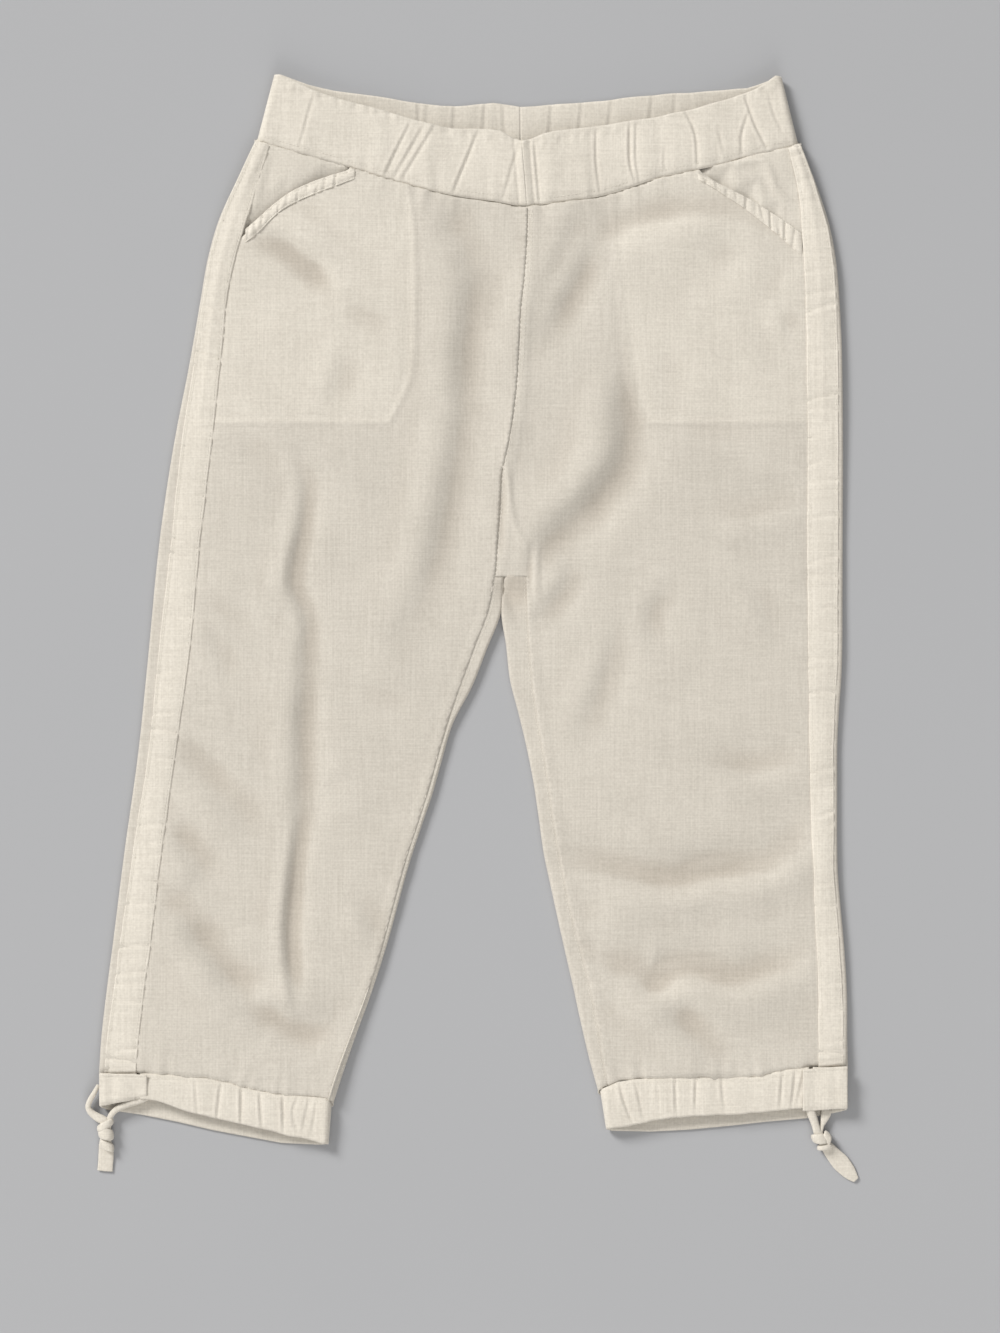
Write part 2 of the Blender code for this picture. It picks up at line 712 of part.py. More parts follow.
def make_casing(leg):
    # Hem casing: from beside the tab along the front, round the inner edge, along the
    # back, round the outer edge and up to the tab.
    inward = 1 if leg == "right" else -1
    rows = hem_rows(leg)
    radius = CASING_RISE / 2
    start = CASING_START[leg]
    path = [("front", step / CASING_FRONT_STEPS) for step in range(CASING_FRONT_STEPS + 1)]
    path += [("inner", step / ARC_STEPS) for step in range(1, ARC_STEPS)]
    path += [("back", step / CASING_BACK_STEPS) for step in range(CASING_BACK_STEPS + 1)]
    path += [("outer", step / ARC_STEPS) for step in range(1, ARC_STEPS)]
    path += [("end", 0.0), ("end", 1.0)]
    grid = []
    for part, along in path:
        line = []
        for share in (0, 0.5, 1):

            def spot(x):
                seam = read(rows, "seam", x)
                front = read(rows, "front", x)
                back = read(rows, "back", x)
                front_y = mix(front, seam, share)
                back_y = mix(back, back_foot(leg, x), share)
                if part in ("front", "end"):
                    return front_y
                if part == "back":
                    return back_y
                if part == "inner":
                    return mix(front_y, back_y, along)
                return mix(back_y, front_y, along)

            def place(y):
                inner = inner_edge(leg, y) - inward * radius
                outer = outer_edge(leg, y) + inward * radius
                if part == "front":
                    return mix(start, inner, along)
                if part == "back":
                    return mix(inner, outer, along)
                if part == "inner":
                    return inner + inward * radius * math.sin(math.pi * along)
                if part == "outer":
                    return outer - inward * radius * math.sin(math.pi * along)
                return mix(outer, start - inward * CASING_END_GAP, along)

            x, y = settle(place, spot, place(-380))
            if part in ("front", "end"):
                z = CASING_RISE
            elif part == "back":
                z = 0.0
            elif part == "inner":
                z = radius + radius * math.cos(math.pi * along)
            else:
                z = radius - radius * math.cos(math.pi * along)
            line.append((x, y, z))
        grid.append(line)
    faces_out = grid[::-1] if leg == "right" else grid
    cloth("hem_casing_" + leg, faces_out, CASING, BAND_CLOTH)


def make_tab(leg):
    # Tab over the casing's ends, where the tie comes out.
    inward = 1 if leg == "right" else -1
    rows = hem_rows(leg)
    grid = []
    for share in (0, 0.5, 1):
        line = []
        for step in range(4):
            outer = outer_edge(leg, TAB_MIDDLE) + inward * TAB_MARGIN
            x = mix(outer, TAB_INNER[leg], step / 3)
            y = mix(read(rows, "front", x) - TAB_MARGIN, read(rows, "seam", x) - GAP, share)
            line.append((x, y, CASING_RISE + GAP + TAPE))
        grid.append(line)
    cloth("casing_tab_" + leg, mirrored(leg, grid), TAPE, TRIM_CLOTH)


def add_strand(name, points):
    data = bpy.data.curves.new(name, "CURVE")
    data.dimensions = "3D"
    data.bevel_depth = STRAND_RADIUS * MM
    data.bevel_resolution = 2
    data.use_fill_caps = True
    spline = data.splines.new("POLY")
    spline.points.add(len(points) - 1)
    for point, (x, y, z) in zip(spline.points, points):
        point.co = (x * MM, y * MM, z * MM, 1.0)
    add_object(name, data, TRIM_CLOTH)


def add_knot(name, knot):
    bpy.ops.mesh.primitive_uv_sphere_add(segments=10, ring_count=7, radius=0.5)
    piece = bpy.context.object
    data = piece.data
    bpy.data.objects.remove(piece)
    sphere = add_object(name, data, TRIM_CLOTH)
    sphere.location = (knot.x * MM, knot.y * MM, knot.z * MM)
    sphere.scale = (knot.wide * MM, knot.long * MM, knot.high * MM)


def add_tail(name, outline):
    data = bpy.data.curves.new(name, "CURVE")
    data.dimensions = "2D"
    data.fill_mode = "BOTH"
    data.extrude = TAIL / 2 * MM
    spline = data.splines.new("POLY")
    spline.points.add(len(outline) - 1)
    for point, (x, y) in zip(spline.points, outline):
        point.co = (x * MM, y * MM, 0.0, 1.0)
    spline.use_cyclic_u = True
    tail = add_object(name, data, TRIM_CLOTH)
    tail.location.z = (TAIL / 2 + GAP) * MM


def make_ties():
    add_strand("tie_loop_right", RIGHT_LOOP)
    add_strand("tie_strand_right", RIGHT_STRAND)
    add_knot("tie_knot_right", RIGHT_KNOT)
    add_tail("tie_tail_right", RIGHT_TAIL)
    add_strand("tie_loop_left", LEFT_LOOP)
    add_strand("tie_strand_left", LEFT_STRAND)
    add_knot("tie_knot_left", LEFT_KNOT)
    add_tail("tie_tail_left", LEFT_TAIL)


for old in list(bpy.data.objects):
    bpy.data.objects.remove(old)

PARTS = bpy.data.collections.new(NAME)
bpy.context.scene.collection.children.link(PARTS)

for leg in ("right", "left"):
    make_back(leg)
    make_front(leg)
    make_pocket(leg)
    make_tape(leg)
    make_waistband(leg)
    make_casing(leg)
    make_tab(leg)
make_ties()
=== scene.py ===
# Looks of a pair of off-white linen capri pants, laid flat with the front up.
# Lengths in the tables are in millimetres, and meshes are made in metres.
# Right and left are the wearer's, so the right leg lies at -X.

import math

import bmesh
import bpy
import numpy as np
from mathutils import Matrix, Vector
from mathutils.bvhtree import BVHTree
from mathutils.geometry import delaunay_2d_cdt
from mathutils.kdtree import KDTree


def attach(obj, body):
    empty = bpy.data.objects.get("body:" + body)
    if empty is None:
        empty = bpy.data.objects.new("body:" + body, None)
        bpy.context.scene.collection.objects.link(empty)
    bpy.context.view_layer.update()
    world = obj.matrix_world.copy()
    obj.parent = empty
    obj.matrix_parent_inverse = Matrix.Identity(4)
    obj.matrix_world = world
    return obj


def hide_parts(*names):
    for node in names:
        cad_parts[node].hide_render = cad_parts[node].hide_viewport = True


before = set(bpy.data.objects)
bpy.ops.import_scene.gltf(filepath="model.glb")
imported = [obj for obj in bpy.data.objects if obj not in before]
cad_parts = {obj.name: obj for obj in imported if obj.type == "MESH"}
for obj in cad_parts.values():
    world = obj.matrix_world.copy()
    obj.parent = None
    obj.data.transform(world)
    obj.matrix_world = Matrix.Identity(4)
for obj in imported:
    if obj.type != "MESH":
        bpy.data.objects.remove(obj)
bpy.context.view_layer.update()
mm = 0.001
legs = ("right", "left")
inward = {"right": 1, "left": -1}  # which way along X leads from a leg's side to its inseam

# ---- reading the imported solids


def vertexValues(mesh, name="co"):
    values = np.empty(len(mesh.vertices) * 3)
    mesh.vertices.foreach_get(name, values)
    return values.reshape(-1, 3)


def nodeShape(name):
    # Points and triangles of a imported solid, each place once.
    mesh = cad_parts[name].data
    mesh.calc_loop_triangles()
    faces = np.empty(len(mesh.loop_triangles) * 3, dtype=int)
    mesh.loop_triangles.foreach_get("vertices", faces)
    places, index = np.unique(np.round(vertexValues(mesh) / mm, 3), axis=0, return_inverse=True)
    return places, index.reshape(-1)[faces.reshape(-1, 3)]


def lengthOf(line):
    return np.linalg.norm(np.diff(line, axis=0), axis=1).sum()


def faceNormals(points, faces):
    a, b, c = (points[faces[:, k]] for k in range(3))
    normal = np.cross(b - a, c - a)
    return normal / np.maximum(np.linalg.norm(normal, axis=1), 1e-12)[:, None]


def faceOutlines(name, facing=1, low=-1e3, high=1e3):
    # Outlines of the faces that look up (1) or down (-1) between two levels, longest first.
    points, faces = nodeShape(name)
    levels = points[faces][:, :, 2]
    chosen = (levels.min(axis=1) > low) & (levels.max(axis=1) < high)
    chosen &= faceNormals(points, faces)[:, 2] * facing > 0.6
    ends = np.concatenate([faces[chosen][:, [0, 1]], faces[chosen][:, [1, 2]], faces[chosen][:, [2, 0]]])
    pairs = set(map(tuple, ends.tolist()))
    following = {a: b for a, b in pairs if (b, a) not in pairs}
    loops = []
    while following:
        start = next(iter(sorted(following)))
        loop = [start]
        while loop[-1] in following:
            loop.append(following.pop(loop[-1]))
        loops.append(points[loop[:-1]])
    return sorted(loops, key=lambda loop: -lengthOf(loop))


def faceOutline(name, facing=1, low=-1e3, high=1e3):
    return faceOutlines(name, facing, low, high)[0]


def curveThrough(points, spacing):
    # Even steps along a smooth curve through a row of points.
    points = np.asarray(points, dtype=float)
    if len(points) < 3:
        dense = points
    else:
        padded = np.vstack([2 * points[0] - points[1], points, 2 * points[-1] - points[-2]])
        t = np.linspace(0, 1, 9)[:-1][:, None]
        runs = []
        for i in range(len(points) - 1):
            a, b, c, d = padded[i : i + 4]
            second, third = 2 * a - 5 * b + 4 * c - d, 3 * b - a - 3 * c + d
            runs.append(0.5 * (2 * b + (c - a) * t + second * t**2 + third * t**3))
        dense = np.vstack([*runs, points[-1:]])
    along = np.concatenate([[0], np.cumsum(np.linalg.norm(np.diff(dense, axis=0), axis=1))])
    count = max(2, int(round(along[-1] / spacing)) + 1)
    at = np.linspace(0, along[-1], count)
    return np.column_stack([np.interp(at, along, dense[:, k]) for k in range(dense.shape[1])])


def stretches(loop, cornerDegrees=38):
    # A closed outline cut at its corners.
    before = loop - np.roll(loop, 1, axis=0)
    after = np.roll(loop, -1, axis=0) - loop
    turn = np.arctan2(
        before[:, 0] * after[:, 1] - before[:, 1] * after[:, 0], (before[:, :2] * after[:, :2]).sum(axis=1)
    )
    corners = np.flatnonzero(np.abs(turn) > math.radians(cornerDegrees))
    cuts = []
    for a, b in zip(corners, np.roll(corners, -1)):
        span = (b - a) % len(loop)
        cuts.append(loop[[(a + k) % len(loop) for k in range(span + 1)]])
    return cuts


def edgesOf(loop):
    # The two long edges of a strip's outline, both running the same way.
    cuts = stretches(loop)
    cuts.sort(key=lambda cut: -lengthOf(cut))
    first, second = cuts[0], cuts[1]
    if np.linalg.norm(first[0] - second[0]) > np.linalg.norm(first[0] - second[-1]):
        second = second[::-1]
    return first, second


def lowAndHigh(name, facing=1, low=-1e3, high=1e3):
    # The long edges of a strip that lies across, the lower one first.
    return sorted(edgesOf(faceOutline(name, facing, low, high)), key=lambda edge: edge[:, 1].mean())


def leftToRight(edges):
    # Both edges of a strip turned to run towards +X.
    backwards = edges[0][0][0] > edges[0][-1][0]
    return [edge[::-1] if backwards else edge for edge in edges]


def downwards(line):
    return line if line[0][1] > line[-1][1] else line[::-1]


# ---- heights of the laid cloth


def splineGrid(grid, column, row):
    # Smooth values between the knots of a grid.
    i, j = np.floor(column).astype(int), np.floor(row).astype(int)
    fx, fy = column - i, row - j

    def weights(f):
        inner, outer = (3 * f**3 - 6 * f**2 + 4) / 6, (-3 * f**3 + 3 * f**2 + 3 * f + 1) / 6
        return (1 - f) ** 3 / 6, inner, outer, f**3 / 6

    total = np.zeros_like(fx)
    for dy, wy in enumerate(weights(fy)):
        jj = np.clip(j + dy - 1, 0, grid.shape[0] - 1)
        for dx, wx in enumerate(weights(fx)):
            ii = np.clip(i + dx - 1, 0, grid.shape[1] - 1)
            total += wy * wx * grid[jj, ii]
    return total


def softNoise(x, y, cell, seed, stretch=1.0):
    knots = np.random.default_rng(seed).uniform(-1, 1, (400, 400))
    return splineGrid(knots, x / cell + 150, y / (cell * stretch) + 150) * 1.6


cast = {"step": 5.0, "low": (-315.0, -430.0), "size": (127, 173)}  # grid on which the solids' height is read


def restingHeights():
    # Height of the front cloth over the floor, read from the solids and carried past their edges.
    corners, triangles = [], []
    for leg in legs:
        for node in ("front_" + leg, "back_" + leg):
            points, faces = nodeShape(node)
            up = faces[faceNormals(points, faces)[:, 2] > 0.85]
            up = up[points[up].mean(axis=1)[:, 2] > 3.4]
            triangles += (up + len(corners)).tolist()
            corners += points.tolist()
    tree = BVHTree.FromPolygons(corners, triangles)
    (columns, rows), (lowX, lowY) = cast["size"], cast["low"]
    height = np.zeros((rows, columns))
    known = np.zeros((rows, columns))
    for j in range(rows):
        for i in range(columns):
            start = Vector((lowX + i * cast["step"], lowY + j * cast["step"], 60))
            hit = tree.ray_cast(start, Vector((0, 0, -1)))[0]
            if hit:
                height[j, i], known[j, i] = hit.z, 1
    close = np.exp(-0.5 * (np.arange(-6, 7) / 1.2) ** 2)
    wide = np.exp(-0.5 * (np.arange(-9, 10) / 3.5) ** 2)

    def blur(field, taps):
        for axis in (0, 1):
            field = np.apply_along_axis(lambda line: np.convolve(line, taps, mode="same"), axis, field)
        return field

    near, far = (blur(height * known, taps) / np.maximum(blur(known, taps), 1e-9) for taps in (close, wide))
    sure = np.clip(blur(known, close) / close.sum() ** 2 * 2.5, 0, 1)
    return near * sure + np.where(far > 0, far, 5.0) * (1 - sure)


lieGrid = restingHeights()


def lie(x, y):
    (lowX, lowY), step = cast["low"], cast["step"]
    return splineGrid(lieGrid, (x - lowX) / step, (y - lowY) / step)


def smoothStep(t):
    t = np.clip(t, 0, 1)
    return t * t * (3 - 2 * t)


def nearestOn(line, x, y):
    # Distance to a line, signed offset to its lower right, and how far along it, from 0 to 1.
    best = np.full(x.shape, 1e9)
    offset = np.zeros_like(x)
    share = np.zeros_like(x)
    run = line[-1] - line[0]
    side = 1 if -run[1] * 0.7 - run[0] * 0.7 > 0 else -1
    for k in range(len(line) - 1):
        ax, ay = line[k]
        dx, dy = line[k + 1] - line[k]
        size = dx * dx + dy * dy
        t = np.clip(((x - ax) * dx + (y - ay) * dy) / size, 0, 1)
        px, py = x - ax - t * dx, y - ay - t * dy
        away = np.hypot(px, py)
        closer = away < best
        signed = side * (px * -dy + py * dx) / math.sqrt(size)
        best = np.where(closer, away, best)
        offset = np.where(closer, signed, offset)
        share = np.where(closer, (k + t) / (len(line) - 1), share)
    return best, offset, share


def within(x, y, line, margin):
    low, high = line.min(axis=0) - margin, line.max(axis=0) + margin
    return (x > low[0]) & (x < high[0]) & (y > low[1]) & (y < high[1])


def acrossX(line, x):
    # Height up the cloth of a line that runs across it.
    order = np.argsort(line[:, 0])
    return np.interp(x, line[order, 0], line[order, 1])


def bump(x, y, middle, reach, height):
    # A round rise of the given height.
    return height * np.exp(-(((x - middle[0]) / reach[0]) ** 2) - (((y - middle[1]) / reach[1]) ** 2))


def creased(x, y, rows):
    # A row is (reach, groove, drop, points): groove is a soft trough along the line, and
    # drop makes the cloth step down from a lip above left to a hollow below right.
    total = np.zeros_like(x)
    for reach, groove, drop, points in rows:
        line = curveThrough(points, 5.0)
        near = within(x, y, line, 3.2 * reach)
        if not near.any():
            continue
        away, offset, share = nearestOn(line, x[near], y[near])
        taper = np.sin(np.pi * (0.06 + 0.88 * share)) ** 0.7
        bell = np.exp(-0.5 * (away / reach) ** 2)
        narrow = np.exp(-((away / (0.6 * reach)) ** 2))
        total[near] += taper * (-groove * narrow - drop * (offset / reach) * bell * 1.6)
    return total


# ---- making meshes


def newMesh(name, points, faces):
    mesh = bpy.data.meshes.new(name)
    mesh.from_pydata((np.asarray(points) * mm).tolist(), [], faces)
    return mesh


def smoothed(mesh):
    mesh.polygons.foreach_set("use_smooth", [True] * len(mesh.polygons))


def addPiece(name, mesh):
    piece = bpy.data.objects.new(name, mesh)
    bpy.context.scene.collection.objects.link(piece)
    smoothed(mesh)
    return piece


def facingOut(mesh, merge=None):
    # Turns the faces of a closed mesh outwards, once points within merge metres are joined.
    bm = bmesh.new()
    bm.from_mesh(mesh)
    if merge:
        bmesh.ops.remove_doubles(bm, verts=bm.verts, dist=merge)
    bmesh.ops.recalc_face_normals(bm, faces=bm.faces)
    bm.to_mesh(mesh)
    bm.free()


def pointTree(outline):
    tree = KDTree(len(outline))
    for k, point in enumerate(outline):
        tree.insert((*point, 0), k)
    tree.balance()
    return tree


def thicken(piece, thickness):
    wall = piece.modifiers.new("wall", "SOLIDIFY")
    wall.thickness = thickness * mm
    wall.offset = -1
    ready = bpy.data.meshes.new_from_object(piece.evaluated_get(bpy.context.evaluated_depsgraph_get()))
    piece.modifiers.clear()
    piece.data = ready
    return piece


def closedLoop(name, spacing, grown=0.25, tucks=()):
    # Outline of a panel's face in even steps, its corners kept, let out to close the seams.
    # A tuck is a seam line and how far the panel runs on under the piece beyond it.
    cuts = stretches(faceOutline(name)[:, :2])
    loop = np.vstack([curveThrough(cut, spacing)[:-1] for cut in cuts])
    along = np.roll(loop, -1, axis=0) - np.roll(loop, 1, axis=0)
    out = np.column_stack([along[:, 1], -along[:, 0]]) / np.linalg.norm(along, axis=1)[:, None]
    loop = loop + out * grown
    for line, reach in tucks:
        loop[:, 1] += reach * (nearestOn(line, loop[:, 0], loop[:, 1])[0] < 1.6)
    return loop


def panelMesh(name, outline, spacing, heightAt):
    # A sheet of even triangles inside an outline.
    tree = pointTree(outline)
    points = [Vector(point) for point in outline]
    low, high = outline.min(axis=0), outline.max(axis=0)
    rowStep = spacing * math.sqrt(3) / 2
    nextOnes = np.roll(outline, -1, axis=0)
    for j in range(1, int((high[1] - low[1]) / rowStep)):
        y = low[1] + j * rowStep
        crossing = (outline[:, 1] > y) != (nextOnes[:, 1] > y)
        a, b = outline[crossing], nextOnes[crossing]
        xs = np.sort(a[:, 0] + (y - a[:, 1]) * (b[:, 0] - a[:, 0]) / (b[:, 1] - a[:, 1]))
        for start, end in zip(xs[::2], xs[1::2]):
            first = math.ceil((start - low[0]) / spacing - j % 2 / 2)
            last = math.floor((end - low[0]) / spacing - j % 2 / 2)
            for i in range(first, last + 1):
                x = low[0] + (i + j % 2 / 2) * spacing
                if tree.find((x, y, 0))[2] > 0.6 * spacing:
                    points.append(Vector((x, y)))
    result = delaunay_2d_cdt(points, [], [list(range(len(outline)))], 1, 1e-6)
    flat = np.array([tuple(point) for point in result[0]])
    return newMesh(name, np.column_stack([flat, heightAt(flat[:, 0], flat[:, 1])]), result[2])


def gridMesh(name, grid):
    # A sheet on rows of points.
    grid = np.asarray(grid)
    rows, columns = grid.shape[:2]
    starts = [i * columns + j for i in range(rows - 1) for j in range(columns - 1)]
    faces = [(a, a + 1, a + columns + 1, a + columns) for a in starts]
    return newMesh(name, grid.reshape(-1, 3), faces)


def stripPiece(name, lowEdge, highEdge, thickness, across, swell):
    # A closed strip between two edges, with round long edges; swell moves points up or out.
    lowEdge, highEdge = np.asarray(lowEdge), np.asarray(highEdge)
    along = np.gradient((lowEdge + highEdge) / 2, axis=0)
    width = np.linalg.norm(highEdge - lowEdge, axis=1)
    normal = np.cross(along, highEdge - lowEdge)
    normal /= np.linalg.norm(normal, axis=1)[:, None]
    radius = thickness / 2
    even = np.linspace(0, 1, across)
    shares = np.unique(np.concatenate([even, [0.02, 0.05, 0.95, 0.98]]))
    rings = []
    for face in (1, -1):
        order = shares if face == 1 else shares[::-1]
        for share in order:
            fromEdge = np.minimum(share, 1 - share) * width
            rounding = np.sqrt(np.clip(1 - (1 - np.clip(fromEdge / radius, 0, 1)) ** 2, 0, 1))
            base = lowEdge + (highEdge - lowEdge) * share
            rings.append(base + normal * (radius * (face * rounding - 1))[:, None] + swell(base, share, face))
    rings = np.array(rings[:-1])
    ringCount, stations = rings.shape[:2]
    mid = len(shares) - 1
    faces = []
    for k in range(ringCount):
        n = (k + 1) % ringCount
        for s in range(stations - 1):
            faces.append((k * stations + s, n * stations + s, n * stations + s + 1, k * stations + s + 1))
    for s, flip in ((0, 1), (stations - 1, -1)):
        cap = [k * stations + s for k in range(ringCount)]
        for k in range(mid):
            left, right = cap[k], cap[k + 1]
            farRight, farLeft = cap[(-k - 1) % ringCount], cap[-k % ringCount]
            corners = [left, farLeft, farRight, right] if k else [left, farRight, right]
            if k == mid - 1 and cap[k + 1] == farRight:
                corners = [left, farLeft, right]
            faces.append(corners[::flip])
    mesh = newMesh(name, rings.reshape(-1, 3), faces)
    facingOut(mesh, 1e-6)
    return addPiece(name, mesh)


def matched(first, second, spacing):
    # Two edges in the same number of steps.
    first, second = curveThrough(first, 1.0), curveThrough(second, 1.0)
    length = max(lengthOf(first), lengthOf(second))
    share = np.linspace(0, 1, int(length / spacing) + 2)
    return [
        np.column_stack([np.interp(share, np.linspace(0, 1, len(edge)), edge[:, k]) for k in range(3)])
        for edge in (first, second)
    ]


print("reading done")

# ---- shader kit


class Wire:
    # A shader output that joins sums: 1 - mask adds its own Math node.
    def __init__(self, recipe, socket):
        self.recipe = recipe
        self.socket = socket

    def maths(self, operation, first, second):
        return self.recipe.node("ShaderNodeMath", {"operation": operation}, {0: first, 1: second})

    def __add__(self, other):
        return self.maths("ADD", self, other)

    def __sub__(self, other):
        return self.maths("SUBTRACT", self, other)

    def __rsub__(self, other):
        return self.maths("SUBTRACT", other, self)

    def __mul__(self, other):
        return self.maths("MULTIPLY", self, other)

    __radd__ = __add__
    __rmul__ = __mul__


class Recipe:
    # One material, its nodes and its Principled shader.
    def __init__(self, name):
        self.material = bpy.data.materials.new(name)
        self.material.use_nodes = True
        self.tree = self.material.node_tree
        self.shader = self.tree.nodes["Principled BSDF"]

    def put(self, socket, value):
        if isinstance(value, Wire):
            self.tree.links.new(value.socket, socket)
        else:
            socket.default_value = value

    def node(self, kind, settings=None, values=None, output=0):
        made = self.tree.nodes.new(kind)
        for key, value in (settings or {}).items():
            if key == "stops":
                ramp = made.color_ramp.elements
                while len(ramp) < len(value):
                    ramp.new(0.5)
                for element, (place, colour) in zip(ramp, value):
                    element.position = place
                    element.color = colour
            else:
                setattr(made, key, value)
        for key, value in (values or {}).items():
            self.put(made.inputs[key], value)
        return Wire(self, made.outputs[output])

    def mix(self, share, first, second, way="MIX"):
        settings = {"data_type": "RGBA", "blend_type": way}
        return self.node("ShaderNodeMix", settings, {"Factor": share, 6: first, 7: second}, 2)

    def darkened(self, share, colour, by, stops):
        # A colour times a ramp.
        return self.mix(share, colour, self.node("ShaderNodeValToRGB", {"stops": stops}, {"Fac": by}), "MULTIPLY")

    def moved(self, operation, vector, by):
        return self.node("ShaderNodeVectorMath", {"operation": operation}, {0: vector, 1: by})

    def noise(self, place, scale, detail):
        return self.node("ShaderNodeTexNoise", {}, {"Vector": place, "Scale": scale, "Detail": detail})

    def painted(self, name):
        return self.node("ShaderNodeAttribute", {"attribute_name": name}, output=2)


# ---- linen

linenLook = {
    "thin": (0.585, 0.540, 0.468),  # one ply, where what lies below greys it
    "thick": (0.640, 0.592, 0.512),  # two plies or more
    "hollow": (0.85, 0.828, 0.808),  # painted shade: the tone a hollow of the cloth is darkened by
    "shade": 0.26,  # how much slubs darken
    "patches": 0.09,  # how much wide blotches darken
    "yarn": 0.72,  # pitch of the weave
    "slubWidth": 0.85,
    "slubLength": 34.0,
    "bump": 0.28,
    "relief": 0.35,
    "roughness": 0.93,
    "sheen": 0.25,
}


def linen(name, tint=1.0, painted=False):
    # Plain weave with uneven yarns. A painted cloth is toned by its "ply", 0 thin to 1 thick, and darkened by a
    # second painted value, painted shade in its hollows.
    look = linenLook
    recipe = Recipe(name)
    place = recipe.node("ShaderNodeTexCoord", output=3)

    def yarns(width, length, seed):
        stretched = recipe.moved("MULTIPLY", place, (1 / (width * mm), 1 / (length * mm), 1 / (8 * mm)))
        return recipe.noise(recipe.moved("ADD", stretched, (seed, seed, seed)), 1.0, 1.0)

    warp = yarns(look["slubWidth"], look["slubLength"], 3.7)
    weft = yarns(look["slubLength"] * 0.8, look["slubWidth"], 9.1)
    blotch = recipe.noise(place, 22.0, 3.0)
    fleck = recipe.noise(place, 520.0, 2.0)
    grain = warp * 0.5 + weft * 0.5
    axes = recipe.node("ShaderNodeSeparateXYZ", {}, {"Vector": place})
    across = Wire(recipe, axes.socket.node.outputs[0])
    along = Wire(recipe, axes.socket.node.outputs[1])
    turns = 2 * math.pi / (look["yarn"] * mm)
    ups = recipe.node("ShaderNodeMath", {"operation": "SINE"}, {0: across * turns + warp * 5.0})
    sides = recipe.node("ShaderNodeMath", {"operation": "SINE"}, {0: along * turns + weft * 5.0})
    weave = ups * sides

    thin = tuple(c * tint for c in look["thin"]) + (1,)
    thick = tuple(c * tint for c in look["thick"]) + (1,)
    shadow = tuple(c * s * tint for c, s in zip(look["thin"], look["hollow"])) + (1,)
    cloth = recipe.mix(recipe.painted("ply") if painted else 1.0, thin, thick)
    if painted:
        # painted shade: the cloth darkens to its shadow tone in hollows and at the crotch
        cloth = recipe.mix(recipe.painted("hollow"), cloth, shadow)
    slubs = [(0.34, (0.25, 0.22, 0.18, 1)), (0.64, (1, 1, 1, 1))]
    cloth = recipe.darkened(look["shade"], cloth, grain * 0.58 + fleck * 0.42, slubs)
    patches = [(0.35, (0.55, 0.54, 0.52, 1)), (0.6, (1, 1, 1, 1))]
    recipe.put(recipe.shader.inputs["Base Color"], recipe.darkened(look["patches"], cloth, blotch, patches))
    recipe.put(recipe.shader.inputs["Roughness"], look["roughness"] - 0.08 * grain)
    relief = {"Strength": look["bump"], "Distance": look["relief"] * mm, "Height": grain + weave * 0.12}
    recipe.put(recipe.shader.inputs["Normal"], recipe.node("ShaderNodeBump", {}, relief))
    recipe.shader.inputs["Sheen Weight"].default_value = look["sheen"]
    recipe.shader.inputs["Sheen Roughness"].default_value = 0.5
    recipe.shader.inputs["Specular IOR Level"].default_value = 0.25
    return recipe.material


legLinen = linen("legLinen", painted=True)
bandLinen = linen("bandLinen", 1.04)
trimLinen = linen("trimLinen", 1.07)
tieLinen = linen("tieLinen", 1.04)


def thread():
    recipe = Recipe("sewingThread")
    place = recipe.node("ShaderNodeTexCoord", output=3)
    twist = recipe.noise(place, 900.0, 1.0)
    recipe.put(recipe.shader.inputs["Base Color"], recipe.mix(twist, (0.60, 0.56, 0.48, 1), (0.74, 0.70, 0.62, 1)))
    recipe.put(recipe.shader.inputs["Roughness"], 0.7 + twist * 0.2)
    return recipe.material


threadLook = thread()

pieces = {}


def finish(piece, material, slot, *nodes):
    piece.data.materials.clear()
    piece.data.materials.append(material)
    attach(piece, "root")
    if nodes:
        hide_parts(*nodes)
    pieces[piece.name] = piece
    return piece


def paint(piece, name, valueAt):
    # A value at each point, for the linen's "ply" and its painted shade.
    points = vertexValues(piece.data) / mm
    layer = piece.data.attributes.new(name, "FLOAT", "POINT")
    layer.data.foreach_set("value", valueAt(points[:, 0], points[:, 1]).astype(np.float32))


# ---- creases, each (reach, groove, drop, points) down or across the cloth

